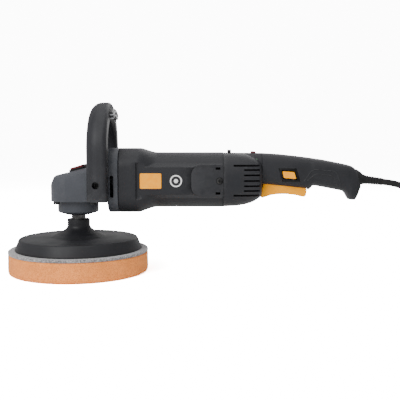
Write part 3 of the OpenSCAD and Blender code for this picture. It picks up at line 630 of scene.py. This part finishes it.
def along_motor(profile, steps=72, closed=False):
    """A turned bmesh laid along the motor's axis from (radius, distance) points in millimetres."""
    return placed(turned(in_metres(profile), steps, closed), motor_line)


def capsule(middle_u, low_v, high_v, radius, steps=12):
    """An upright slot outline with round ends."""
    top = arc(middle_u, high_v - radius, radius, 0, 180, steps)
    return top + [(u, low_v + high_v - v) for u, v in top[::-1]]


def both_sides(make):
    """The same cutter on the left and on the right; make takes -1 or 1."""
    return [make(-1), make(1)]


cavity = turned([(0, 0.090), (0.0275, 0.090), (0.0275, 0.120), (0.0065, 0.120), (0.0065, 0.123), (0, 0.123)], 96)
motor_seat = along_motor([(0, 12), (9.5, 12), (9.5, 39), (16, 39), (16, 51), (20, 51), (20, 46), (36.5, 46),
                          (36.5, 57), (0, 57)])
lock_well = prism(rounded(box_outline(-8.2, -17.2, 10.2, 17.2), 1.2, 3), 124, 160, standing)
lock_pin_hole = prism(circle(0, -13, 2.55, 24), 115, 126, standing)
flange_pocket = prism(plate_outline(28.6, 30.1, 12.1), 91, 95, standing)
exhaust = side_pair(capsule(48.5, -20.7, 7.1, 2.25), 30, 45)
flange_screws = [placed(rod(0.0035, 0.0424, 0.047), motor_line @ posed(0, 0, 0, math.radians(45 + 90 * k), "Z")
                        @ posed(0.0414, 0, 0)) for k in range(4)]
carved(gear_head, [flange_pocket, cavity, motor_seat, lock_pin_hole, lock_well] + exhaust + flange_screws)


# ---- Spindle lock ----
# A red moulded button that slides in a black frame in the head's roof and pushes a pin into the bevel
# wheel. Its top follows the roof and carries fine finger ribs.
dark_plastic = finish("dark_plastic", (0.003, 0.003, 0.0034), (0.005, 0.005, 0.0055), 0.02, 0.45, 900,
                      0.00009, specular=0.12)
red_plastic = finish("red_plastic", (0.14, 0.006, 0.009), (0.11, 0.005, 0.007), (0.26, 0.04, 0.045), 0.36, 900,
                     0.00006, rough_spread=0.07, wear_amount=0.4)
base_block = prism(rounded(box_outline(-8.1, -17.1, 10.1, 17.1), 1.2, 3), 124, 150, standing)
lock_frame = make_piece("lock_frame", base_block, "machine", dark_plastic, ["lock_button_base"])
base_top = [(-60, -60), (-60, 0), (60, 0), (60, -60)]
above_roof = posed(0, 0, 0.1276 + 0.024 * math.tan(roof_rise), -roof_rise, "Y")
carved(lock_frame, [placed(prism(base_top, -40, 40, upright), above_roof)], "INTERSECT")
button_hole = prism(rounded(box_outline(-7.2, -16.4, 9.2, 16.4), 1.6, 4), 124.8, 160, standing)
pin_way = prism(circle(0, -13, 2.7, 24), 120, 130, standing)
carved(lock_frame, [button_hole, pin_way])
bevelled(lock_frame, 0.0003, 2)

button_block = prism(rounded(box_outline(-6.8, -16, 8.8, 16), 1.6, 4), 129, 150, standing)
lock_button = make_piece("lock_button", button_block, "spindle_lock", red_plastic,
                         ["spindle_lock_button"])
button_tilt = math.radians(17)
button_top = posed(0, 0, motor_z + 0.0173, -button_tilt, "Y")
ribbed_top = [(-60, -60), (-60, 0)] + [(u + du, v) for u in (-4.4, -1.9, 0.6, 3.1, 5.6)
                                       for du, v in ((0, 0), (0.5, -0.55), (1.1, -0.55), (1.6, 0))]
ribbed_top += [(60, 0), (60, -60)]
carved(lock_button, [placed(prism(ribbed_top, -40, 40, upright), button_top)], "INTERSECT")
carved(lock_button, [placed(rod(0.0048, 0.128, 0.133), posed(0.001, 0, 0))])
lock_pin = placed(turned([(0, 0.110), (0.0021, 0.110), (0.0025, 0.1106), (0.0025, 0.130), (0, 0.130)], 32),
                  posed(0, -0.013, 0))
carved(lock_button, [lock_pin], "UNION")
bevelled(lock_button, 0.0005, 3)


# ---- Loop handle ----
# A glass-filled nylon arch over the head, round at the front. A soft inlay and a ribbed insert are let
# into its rear face, and each leg ends in a pad that is bolted to the side of the head.
nylon = finish("charcoal_nylon", (0.012, 0.0122, 0.0148), (0.016, 0.0162, 0.0192), (0.045, 0.045, 0.048), 0.50, 750,
               0.00014, rough_spread=0.07, wear_amount=0.5)
arch_x, arch_w, arch_z = 19.2, 26, 156
arch_in, arch_out = 40, 61


def arch_section(channel):
    """Radius and place along the motor round the arch's section; the channel may be left flush."""
    soft = arc(arch_in + 5, 5, 5, 180, 270, 6)
    front = arc(arch_out - 15, 15, 15, -90, 0, 12)
    rear = arc(arch_out - 5, arch_w - 5, 5, 0, 90, 6)
    last = arc(arch_in + 5, arch_w - 5, 5, 90, 180, 6)
    depth = arch_w - 5 if channel else arch_w - 0.02
    groove = [(55.9, arch_w), (55.5, arch_w - 0.4), (55.5, depth), (43, depth), (43, arch_w - 0.02)]
    if last[0][0] > 43:
        last = [(42.9, arch_w - 0.01)] + [p for p in last if p[0] < 42.8]
    return soft + front + rear + groove + last


def arch_ring(angle, drop, channel):
    """One ring of the arch at an angle round its middle, or at the leg's drop below it."""
    return [((arch_x + along) / 1000, r * math.cos(angle) / 1000, (arch_z + r * math.sin(angle) - drop) / 1000)
            for r, along in arch_section(channel)]


leg_drops = [62, 51.02, 51, 40, 27, 14, 1]
rings = [arch_ring(0, drop, drop <= 51.01) for drop in leg_drops]
rings += [arch_ring(math.pi * k / 64, 0, True) for k in range(65)]
rings += [arch_ring(math.pi, drop, drop <= 51.01) for drop in leg_drops[::-1]]
loop_arch = make_piece("loop_arch", loft(rings), "machine", nylon, ["loop_handle"], sharp=25)
bolt_holes = both_sides(lambda side: placed(turned([(0, 0.033), (0.0026, 0.033), (0.0026, 0.046), (0.0044, 0.046),
                                                     (0.0044, 0.066), (0, 0.066)], 32),
                                            posed(0.032, 0, motor_z - 0.0042, -side * math.pi / 2)))
handle_pads = both_sides(lambda side: prism(rounded(box_outline(19.3, 94, 40.8, 134), 1.5, 4),
                                            side * 34.02, side * 43, upright))
carved(loop_arch, handle_pads, "UNION")
carved(loop_arch, bolt_holes)
inlay_plastic = finish("inlay_plastic", (0.014, 0.0145, 0.0165), (0.020, 0.0205, 0.0225), 0.05, 0.35, 500,
                       0.00008)
dress(inlay_plastic, "handle_inlay")


def painted_rib_highlights_finish():
    """Black finger ribs with thin light bands of painted highlight between them, all painted and told apart by
    their distance from the arch's middle.
    """
    material, tree, shader = blank("ribs_with_painted_highlights")
    place = add_node(tree, "TexCoord")
    parts = add_node(tree, "SeparateXYZ")
    from_middle = add_node(tree, "Math", [(1, -0.156)], operation="ADD")
    flat = add_node(tree, "CombineXYZ")
    radius = add_node(tree, "VectorMath", operation="LENGTH")
    wave = add_node(tree, "Math", [(1, 1300.0)], operation="MULTIPLY")
    swing = add_node(tree, "Math", operation="SINE")
    # The dark stop is the ribs' own black; the light stop is a painted highlight standing in for the glossy ribs
    # catching the light.
    painted_highlight_bands = ramp(tree, (0.45, 0.022, 0.022, 0.024), (0.6, 0.42, 0.43, 0.45))
    fleck = add_node(tree, "TexNoise", [("Scale", 700), ("Detail", 3)])
    rough = remap(tree, 0, 1, 0.28, 0.5)
    wire((place, "Object", parts, 0), (place, "Object", fleck, "Vector"), (parts, "Z", from_middle, 0),
         (parts, "Y", flat, "Y"), (from_middle, 0, flat, "Z"), (flat, 0, radius, 0), (radius, "Value", wave, 0),
         (wave, 0, swing, 0), (swing, 0, painted_highlight_bands, "Fac"), (painted_highlight_bands, "Color", shader, "Base Color"),
         (fleck, "Fac", rough, "Value"), (rough, "Result", shader, "Roughness"))
    return material


# The insert's ribs and the highlights between them are painted into its colour, not shaped and lit.
dress(painted_rib_highlights_finish(), "grip_insert")


# ---- Motor ----
# Fan, armature, commutator, stator and coils of the brushed motor, with the baffle between fan and
# stator. They show only through the slots.
dress(finish("fan_nylon", (0.62, 0.60, 0.54), (0.54, 0.52, 0.46), (0.7, 0.68, 0.62), 0.5, 800, 0.0001),
      "cooling_fan")
dress(finish("laminations", (0.20, 0.20, 0.21), (0.13, 0.12, 0.12), 0.4, 0.45, 2500, 0.0001, 0.9), "armature_core",
      "stator_core")
dress(finish("enamelled_copper", (0.55, 0.21, 0.09), (0.40, 0.14, 0.06), (0.7, 0.35, 0.2), 0.35, 1600, 0.0002, 0.8),
      "armature_windings", "field_coils", "commutator")
dress(finish("bronze", (0.56, 0.38, 0.16), (0.46, 0.30, 0.12), (0.7, 0.5, 0.25), 0.35, 900, 0.00005, 1.0),
      "upper_bush", "brush_holders")
dress(finish("carbon", (0.05, 0.05, 0.052), (0.085, 0.085, 0.088), 0.12, 0.55, 1400, 0.0001), "carbon_brushes")
dress(finish("seal_rubber", 0.022, 0.035, 0.06, 0.6, 900, 0.0001), "dust_seal", "rear_bearing_bush")
dress(finish("circuit_green", (0.02, 0.14, 0.06), (0.015, 0.09, 0.04), (0.2, 0.3, 0.2), 0.4, 600, 0.0002),
      "speed_controller")
dress(finish("white_nylon", (0.72, 0.72, 0.70), (0.62, 0.62, 0.60), 0.8, 0.45, 800, 0.00008), "switch_plunger")
dress(dark_plastic, "fan_baffle", "trigger_switch", "cord_clamp")


# ---- Motor housing ----
# One injection moulding in charcoal nylon: a square bell over the fan that necks down in an S to the
# round barrel, with a flat panel on either side that runs back to the grip.
barrel_r, panel_half = 35.2, 36.0
panel_edge, bell_meets, block_end = corner_angles = (25.28, 31.43, 39.55)
ring_angles = sorted({round(2.5 * k, 3) for k in range(144)} | {s * a % 360 for a in corner_angles for s in (1, -1)}
                     | {180 + s * a for a in corner_angles for s in (1, -1)})


def folded(degrees):
    """The same angle, measured up or down from the nearer side."""
    return min(degrees % 180, 180 - degrees % 180)


def bell_reach(degrees):
    """How far the bell's rounded square reaches at an angle above the sideways direction."""
    c, s = abs(math.cos(math.radians(degrees))), abs(math.sin(math.radians(degrees)))
    half_y, half_z, corner = 39.0, 40.5, 24.0
    low, high = 0.0, 60.0
    for _ in range(40):
        r = (low + high) / 2
        over_y, over_z = r * c - (half_y - corner), r * s - (half_z - corner)
        outside = math.hypot(max(over_y, 0), max(over_z, 0)) + min(max(over_y, over_z), 0) > corner
        low, high = (low, r) if outside else (r, high)
    return low


def panel_reach(degrees):
    """How far the side panel's bevelled block reaches at an angle, or 0 outside it."""
    a = folded(degrees)
    if a <= panel_edge:
        return panel_half / math.cos(math.radians(a))
    if a <= block_end:
        slope = (22.3 - 17) / (27 - 36)
        t = math.tan(math.radians(a))
        y = (17 - slope * 36) / (t - slope)
        return y / math.cos(math.radians(a))
    return 0


def housing_ring(x):
    """Outline of the motor housing at a place along the motor."""
    share = eased(x, 79, 104)
    made = []
    for degrees in ring_angles:
        r = bell_reach(degrees) * (1 - share) + barrel_r * share
        if x > 78:
            if folded(degrees) <= bell_meets:
                r = min(r, panel_half / math.cos(math.radians(folded(degrees))))
            r = max(r, panel_reach(degrees))
        if x < 57.4:
            r -= 0.9 * (1 - (x - 56) / 1.4)
        made.append(end_on(r * math.cos(math.radians(degrees)), r * math.sin(math.radians(degrees)), x))
    return made


stations = [56, 56.35, 56.8, 57.4, 65, 72, 77.97, 78.03] + list(range(79, 105)) + [
    110, 130, 150, 170, 185.8, 186.5, 187]
motor_shell = make_piece("motor_shell", loft([housing_ring(x) for x in stations]), "machine", nylon,
                         ["motor_housing"], sharp=28)
bevelled(motor_shell, 0.0007, 3, 30)
baked(motor_shell)
hollow = along_motor([(0, 55), (38, 55), (38, 78), (31.5, 78), (31.5, 178), (8, 178), (8, 181), (13, 181),
                      (13, 188.5), (15.5, 188.5), (15.5, 181), (31.5, 181), (31.5, 190), (0, 190)])


def cover_plan(grow):
    """Outline of a brush cover with round front corners, made larger by grow."""
    corner = 13.6 + grow
    made = arc(160, 6.6, corner, 90, 180, 10)
    made += [(u, -v) for u, v in made[::-1]]
    return made + [(186.2 + grow, -20.2 - grow), (186.2 + grow, 20.2 + grow)]


cover_pockets = side_pair(cover_plan(0.3), 34.35, 45)
brush_windows = side_pair(box_outline(159.5, -6.5, 173.5, 6.5), 26, 45)
slot_heights = (-15.3, 15.5)
slot_wells = [well for up in slot_heights
              for well in side_pair(box_outline(176.5, up - 1.7, 182.9, up + 1.7), 20, 36)]
carved(motor_shell, [hollow] + cover_pockets + brush_windows + slot_wells)


# ---- Brush covers ----
# A cover with round front corners closes the brush chamber on either side. It lies flush in the
# panel behind a fine joint and is held by one black screw beside its two cooling slots.
brush_lids = make_piece("brush_lids", joined(side_pair(cover_plan(0), 34.45, 36.25)), "machine", nylon,
                        ["brush_covers"])
bevelled(brush_lids, 0.0005, 3)
baked(brush_lids)
cover_slots = [slot for up in slot_heights
               for slot in side_pair(rounded(box_outline(176.7, up - 1.5, 182.7, up + 1.5), 0.5, 2), 33, 40)]
screw_seats = both_sides(lambda side: placed(turned([(0, 0.030), (0.0016, 0.030), (0.0016, 0.0348),
                                                     (0.0043, 0.0348), (0.0043, 0.040), (0, 0.040)], 40),
                                             posed(0.1818, 0, motor_z, -side * math.pi / 2)))
carved(brush_lids, cover_slots + screw_seats)


# ---- Badges ----
# On either side a plain yellow plate with round corners and a white emblem of a ring and a dot, both
# pressed into the panel.
badge_yellow = finish("badge_yellow", (0.95, 0.34, 0.004), (0.88, 0.31, 0.003), (0.95, 0.55, 0.1), 0.38, 900,
                      0.00004, rough_spread=0.08, wear_amount=0.3, specular=0.05)
emblem_white = finish("emblem_white", (0.78, 0.78, 0.77), (0.70, 0.70, 0.69), 0.8, 0.40, 900, 0.00003,
                      rough_spread=0.08, wear_amount=0.3)
badge_outline = rounded(box_outline(83.2, -9.5, 109.7, 9.5), 1.6, 4)
badges = joined(side_pair(badge_outline, 35.9, 36.6))
yellow_badges = make_piece("yellow_badges", badges, "machine", badge_yellow, ["badge_plates"])
bevelled(yellow_badges, 0.0002, 2)


def emblem(side):
    """Ring and dot on one side."""
    rim = turned(in_metres([(5.9, 35.9), (7.5, 35.9), (7.5, 36.25), (7.3, 36.4), (6.1, 36.4), (5.9, 36.25)]), 64,
                 closed=True)
    dot = turned([(0, 0.0359), (0.0026, 0.0359), (0.0026, 0.0362), (0.0023, 0.0364), (0, 0.0364)], 40)
    return placed(joined([rim, dot]), posed(0.1278, 0, motor_z, -side * math.pi / 2))


make_piece("emblems", joined(both_sides(emblem)), "machine", emblem_white)


# ---- Rear housing ----
# Two half shells in the housing's nylon, screwed together along the middle. They start as wide as the
# motor, draw in to a slim grip above the trigger and end in a slanted heel round the lead.
top_line = [(187, 34.6), (202, 34.6), (237, 34.3), (257, 33.1), (276, 31.1), (295, 28.8), (315, 25.8), (334, 22.1),
            (346, 19.5), (352, 17.7), (355.5, 15.4), (358, 12.4), (359.8, 6), (361.2, 0.6), (362.4, -3.8),
            (363.5, -7.2)]
under_line = [(187, -19), (235.8, -19), (236.6, -6.6), (238, -6.6), (265, -9.4), (293, -12.5), (297.4, -12.8),
              (299.4, -11), (301, -8.7), (303, -7.8), (306, -7.9), (319, -10.4), (333, -13.1), (340.8, -14.7),
              (343.2, -16.2), (345.2, -19), (347.4, -23.4), (349, -25.7), (353, -26.4), (357, -26.4),
              (358.6, -24), (360.3, -19.4), (362.4, -12.4), (363.5, -8.8)]
half_widths = [(187, 19), (335, 19), (350, 18.2), (356, 17), (360, 15), (362.4, 11.5), (363.5, 8)]
squareness = [(187, 2.5), (300, 2.45), (345, 2.6), (363.5, 2.2)]
wide_end = 236.2
wide_top = [(187, 34.6), (205, 34.4), (215, 33.2), (222, 31), (227, 28.8), (231, 26), (233.5, 23.5), (235.2, 21),
            (236.2, 17)]
wide_under = [(187, -34.6), (205, -33.6), (215, -31.9), (222, -30), (227, -27.6), (231, -25), (233.5, -23.3),
              (235.2, -21.7), (236.2, -19.5)]
wide_half = [(187, 35.9), (205, 35.9), (215, 35.7), (222, 35.2), (227, 34.2), (231, 32.5), (233.5, 30), (235.2, 26),
             (236.2, 20)]


def along(line, x):
    """Height or width of a line of points at a place, straight between its points."""
    for (x0, v0), (x1, v1) in zip(line, line[1:]):
        if x <= x1:
            return v0 + (v1 - v0) * (x - x0) / (x1 - x0)
    return line[-1][1]


grip_places = sorted({float(x) for line in (top_line, under_line, half_widths, wide_top) for x, _ in line}
                     | {187 + 3.0 * k for k in range(58)})
grip_places = [x for i, x in enumerate(grip_places) if i == 0 or x - grip_places[i - 1] > 0.35]


def reach(c, s, half_w, up, down, power):
    """How far an oval with its own height above and below its middle reaches in a direction."""
    tall = up if s >= 0 else down
    return (abs(c / max(half_w, 0.4)) ** power + abs(s / max(tall, 0.4)) ** power) ** (-1 / power)


def grip_ring(x, inset=0.0, widest=60.0):
    """Cross-section of the grip at a place, with the wide part round it, moved inwards by inset."""
    high, low, half_w = along(top_line, x) - inset, along(under_line, x) + inset, along(half_widths, x) - inset
    middle = 0 if x < wide_end else (high + low) / 2
    made = []
    for i in range(96):
        c, s = math.cos(math.pi * (i + 0.5) / 48), math.sin(math.pi * (i + 0.5) / 48)
        r = reach(c, s, half_w, high - middle, middle - low, along(squareness, x))
        if x < wide_end:
            r = max(r, reach(c, s, min(along(wide_half, x) - inset, widest), along(wide_top, x) - inset,
                             -along(wide_under, x) - inset, 2.75))
        made.append(end_on(r * c, middle + r * s, x))
    return made


grip_skin = loft([grip_ring(x) for x in grip_places])
inner_places = [x for x in grip_places if 196 < x < 358]
grip_void = loft([grip_ring(187, 3.2), grip_ring(195, 2.9)] + [grip_ring(x, 2.8, 21.5) for x in inner_places])
grip_whole = make_piece("grip_whole", grip_skin, "machine", nylon, sharp=40)
mouth = along_motor([(0, 186), (31.4, 186), (31.4, 192), (0, 192)])
vents = []
for start, half, corner, heights in ((212, 1.1, 0.8, (13.5, 7, 0, -6.5, -12.5)), (199, 1.2, 0.9, (18.8, -18.4))):
    for up in heights:
        vents += side_pair(rounded(box_outline(start, up - half, 232, up + half), corner, 3), 23, 50)
dial_gap = prism(rounded(box_outline(191.9, -11.5, 197.9, 11.5), 0.8, 2), 140, 170, standing)
lamp_gap = prism(box_outline(222.5, -3.2, 229, 3.2), 143, 170, standing)
trigger_gap = prism(box_outline(236.2, -9.6, 296.4, 9.6), 78.5, 123.4, standing)
lock_slant = [(256.4, 14.9), (279, 14.9), (284.2, -1.9), (261.6, -1.9)]
frame_gap = prism(lock_slant, -5, -30, side_on)
lead_turn = posed(*lead_exit, math.radians(96.9), "Y")
sleeve_hole = placed(rod(0.007, -0.060, 0, 48), lead_turn)
carved(grip_whole, [grip_void, mouth, dial_gap, lamp_gap, trigger_gap, sleeve_hole, frame_gap] + vents)


def half_shell(name, side, node):
    """One of the two shells: the whole grip, cut just beside the middle so that a fine joint shows."""
    shell = put(name, grip_whole.data.copy())
    keep = prism(box_outline(180, -60, 400, 60), side * 0.03, side * 60, side_on)
    carved(shell, [keep], "INTERSECT")
    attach(shell, "machine")
    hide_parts(node)
    return shell


half_shell("left_shell", -1, "rear_housing_left")
right_shell = half_shell("right_shell", 1, "rear_housing_right")
screw_posts = ((202.2, 17.5), (206, -22), (235, 22), (318, 4), (350, -14))
carved(right_shell, [prism(circle(u, v, 3.8), 12, 60, side_on) for u, v in screw_posts])
bpy.data.objects.remove(grip_whole)


def ridge(line, side):
    """A fine raised line on the side of the grip, following its skin."""
    bends = rounded(line, 5, 6, closed=False)
    knots = [(a[0] + (b[0] - a[0]) * k / 4, a[1] + (b[1] - a[1]) * k / 4) for a, b in zip(bends, bends[1:])
             for k in range(4)] + [bends[-1]]
    spots = []
    for x, v in knots:
        middle = (along(top_line, x) + along(under_line, x)) / 2
        tall = (along(top_line, x) - along(under_line, x)) / 2
        power = along(squareness, x)
        spots.append(Vector((x, side * along(half_widths, x) * max(0, 1 - abs((v - middle) / tall) ** power)
                             ** (1 / power), v + motor_z * 1000)) / 1000)
    rings = []
    for i, spot in enumerate(spots):
        ahead = (spots[min(i + 1, len(spots) - 1)] - spots[max(i - 1, 0)]).normalized()
        out = Vector((0, side, 0))
        across = ahead.cross(out).normalized()
        rings.append([spot + 0.0006 * (across * math.cos(math.pi * k / 4) + out * math.sin(math.pi * k / 4))
                      for k in range(8)])
    return loft(rings)


outer_line = [(288.7, -1.4), (299.4, 13.9), (326.9, 11.6), (330.7, 7.8), (336.1, -9.1)]
inner_line = [(293.2, -0.6), (303.2, 8.6), (323.1, 6.2), (326.9, 3.2), (333, -10.6)]
make_piece("grip_ridges", joined([ridge(line, side) for line in (outer_line, inner_line)
                                  for side in (-1, 1)]), "machine", nylon)


# ---- Speed dial ----
# A knurled black thumbwheel, moulded in hard plastic, that sets the speed. It turns on the speed
# controller's shaft, most of it inside the grip.
knurled = [circle(0, 0, 12.6 if i % 3 else 12.05, 72)[i] for i in range(72)]
dial_wheel = prism(knurled, 0, 4.4, lambda u, v, d: (0.1927 + d / 1000, u / 1000, 0.1444 + v / 1000))
thumbwheel = make_piece("thumbwheel", dial_wheel, "dial", dark_plastic, ["speed_dial"], sharp=20)
carved(thumbwheel, [placed(rod(0.00256, -0.001, 0.006), posed(0.1927, 0, 0.1444, math.pi / 2, "Y"))])
bevelled(thumbwheel, 0.0002, 2)


# ---- Power lamp ----
# A small lens moulded in dark red polycarbonate and clipped between the shells. It stands out of the
# grip's top and lights when the machine has power.
lens_red = finish("lens_red", (0.10, 0.005, 0.006), (0.07, 0.004, 0.005), (0.2, 0.03, 0.03), 0.2, 700, 0.00003,
                  rough_spread=0.05, coat=0.6)
lens_block = prism(rounded([(222.7, 27), (222.7, 36.8), (228.8, 36.3), (228.8, 27)], 1.6, 4), -3, 3, side_on)
lamp_lens = make_piece("lamp_lens", lens_block, "machine", lens_red, ["power_lamp"])
bevelled(lamp_lens, 0.0008, 4)


# ---- Trigger ----
# A broad yellow nylon paddle, hinged at its front on a steel pin. Its underside is hollowed for two
# fingers and its edges are well rounded.
trigger_yellow = finish("trigger_yellow", (1.0, 0.38, 0.0), (0.93, 0.35, 0.0), (0.9, 0.5, 0.06), 0.40, 800,
                        0.00009, rough_spread=0.07, wear_amount=0.3, specular=0.05)
paddle_line = [(238.4, -5.9), (238.4, 0), (240.5, 4), (248, 4), (256, 0.5), (290, -5), (294.5, -12), (293.2, -21.6),
               (288, -21.9), (283, -20.4), (276, -19.2), (269, -18.5), (262.2, -18.3), (255, -18.7), (249, -19.6),
               (242.6, -21.8), (235.8, -23.8), (236.3, -14)]
paddle = make_piece("paddle_trigger", prism(rounded(paddle_line, 2.4, 4), -9, 9, side_on), "paddle", trigger_yellow,
                    ["trigger"], sharp=30)
bevelled(paddle, 0.0016, 5, 50)
baked(paddle)
carved(paddle, [prism(circle(245, 0, 2.05), -12, 12, side_on)])


# ---- Lock-on button ----
# A yellow moulded button that leans with the grip. It slides in a black frame that is let into the
# left shell.
button_slant = [(261.3, 11.5), (276.5, 10.3), (279, 1.5), (263.3, 2.8)]
lock_on = make_piece("lock_on_knob", prism(rounded(button_slant, 1.6, 4), -11.8, -19.8, side_on), "lock_on",
                     trigger_yellow, ["lock_on_button"])
bevelled(lock_on, 0.0007, 4)
surround = make_piece("lock_on_frame", prism(rounded(lock_slant, 3.2, 6), -16, -19.9, side_on), "machine",
                      dark_plastic, ["lock_button_frame"])
bevelled(surround, 0.0005, 3)
baked(surround)
wide_slant = [(260, 12.8), (277.6, 11.5), (280.6, 0.3), (262.2, 1.6)]
carved(surround, [prism(rounded(wide_slant, 1.7, 4), -12, -24, side_on)])


# ---- Strain relief ----
# A tapered rubber sleeve round the lead, held by its collar in the heel of the grip and ringed with
# grooves so that it bends evenly.
relief_profile = [(4.2, -39), (10, -39), (10, -36.8), (12, -36.4), (12, -35.6), (11, -33), (9.8, -30.6),
                  (8.2, -28.4), (6.9, -26.4), (6.1, -24.4), (5.7, -22), (5.6, -20.5)]
for k in range(5):
    s = -19.6 + 3.6 * k
    r = 5.45 - 0.14 * k
    relief_profile += [(r, s), (r - 0.55, s + 0.35), (r - 0.55, s + 1.15), (r - 0.05, s + 1.5)]
relief_profile += [(4.75, -1.2), (4.6, -0.2), (4.3, 0), (4.2, -0.1)]
relief = placed(turned(in_metres(relief_profile), 64, closed=True), lead_turn)
inner_lead = placed(rod(0.0042, -0.064, -0.0005), lead_turn)
make_piece("relief_sleeve", joined([relief, inner_lead]), "machine", lead_rubber,
           ["strain_relief"])


# ---- Floor and light ----
# A pale sheet under the pad, with large soft lights above, to the left and behind. The camera sees
# the sheet and the room brighter than they light the machine.
floor_bm = bmesh.new()
bmesh.ops.create_grid(floor_bm, x_segments=1, y_segments=1, size=6)
floor = put("floor", as_mesh("floor", floor_bm))
floor_paper, paper_tree, paper_shader = blank("pale_paper", [("Roughness", 0.9), ("Specular IOR Level", 0.1)])
paper_grain = add_node(paper_tree, "TexNoise", [("Scale", 300), ("Detail", 3)])
paper_tone = ramp(paper_tree, (0, 0.90, 0.90, 0.90), (1, 0.94, 0.94, 0.94))
paper_glow = add_node(paper_tree, "BsdfDiffuse", [("Color", (16, 16, 16, 1))])
paper_seen = add_node(paper_tree, "LightPath")
paper_mix = add_node(paper_tree, "MixShader")
wire((paper_grain, "Fac", paper_tone, "Fac"), (paper_tone, "Color", paper_shader, "Base Color"),
     (paper_seen, "Is Camera Ray", paper_mix, 0), (paper_shader, "BSDF", paper_mix, 1),
     (paper_glow, "BSDF", paper_mix, 2), (paper_mix, "Shader", paper_tree.nodes["Material Output"], "Surface"))
floor.data.materials.append(floor_paper)

world = bpy.data.worlds.new("studio")
bpy.context.scene.world = world
world.use_nodes = True
room_tree = world.node_tree
room = room_tree.nodes["Background"]
room.inputs["Color"].default_value = (1, 1, 1, 1)
room.inputs["Strength"].default_value = 0.75
backdrop = add_node(room_tree, "Background", [("Color", (1, 1, 1, 1)), ("Strength", 12.0)])
room_seen = add_node(room_tree, "LightPath")
room_mix = add_node(room_tree, "MixShader")
wire((room_seen, "Is Camera Ray", room_mix, 0), (room, "Background", room_mix, 1),
     (backdrop, "Background", room_mix, 2), (room_mix, "Shader", room_tree.nodes["World Output"], "Surface"))
machine_middle = Vector((0.15, 0, 0.1))
for name, place, size, power in (("top_softbox", (0.10, -0.15, 1.25), 1.1, 8),
                                 ("left_softbox", (-0.55, -1.1, 0.85), 0.8, 19),
                                 ("rear_softbox", (0.5, 1.0, 0.9), 0.9, 5)):
    light = bpy.data.lights.new(name, "AREA")
    light.shape, light.size, light.energy = "SQUARE", size, power
    softbox = put(name, light)
    softbox.location = place
    softbox.rotation_euler = (Vector(place) - machine_middle).to_track_quat("Z", "Y").to_euler()
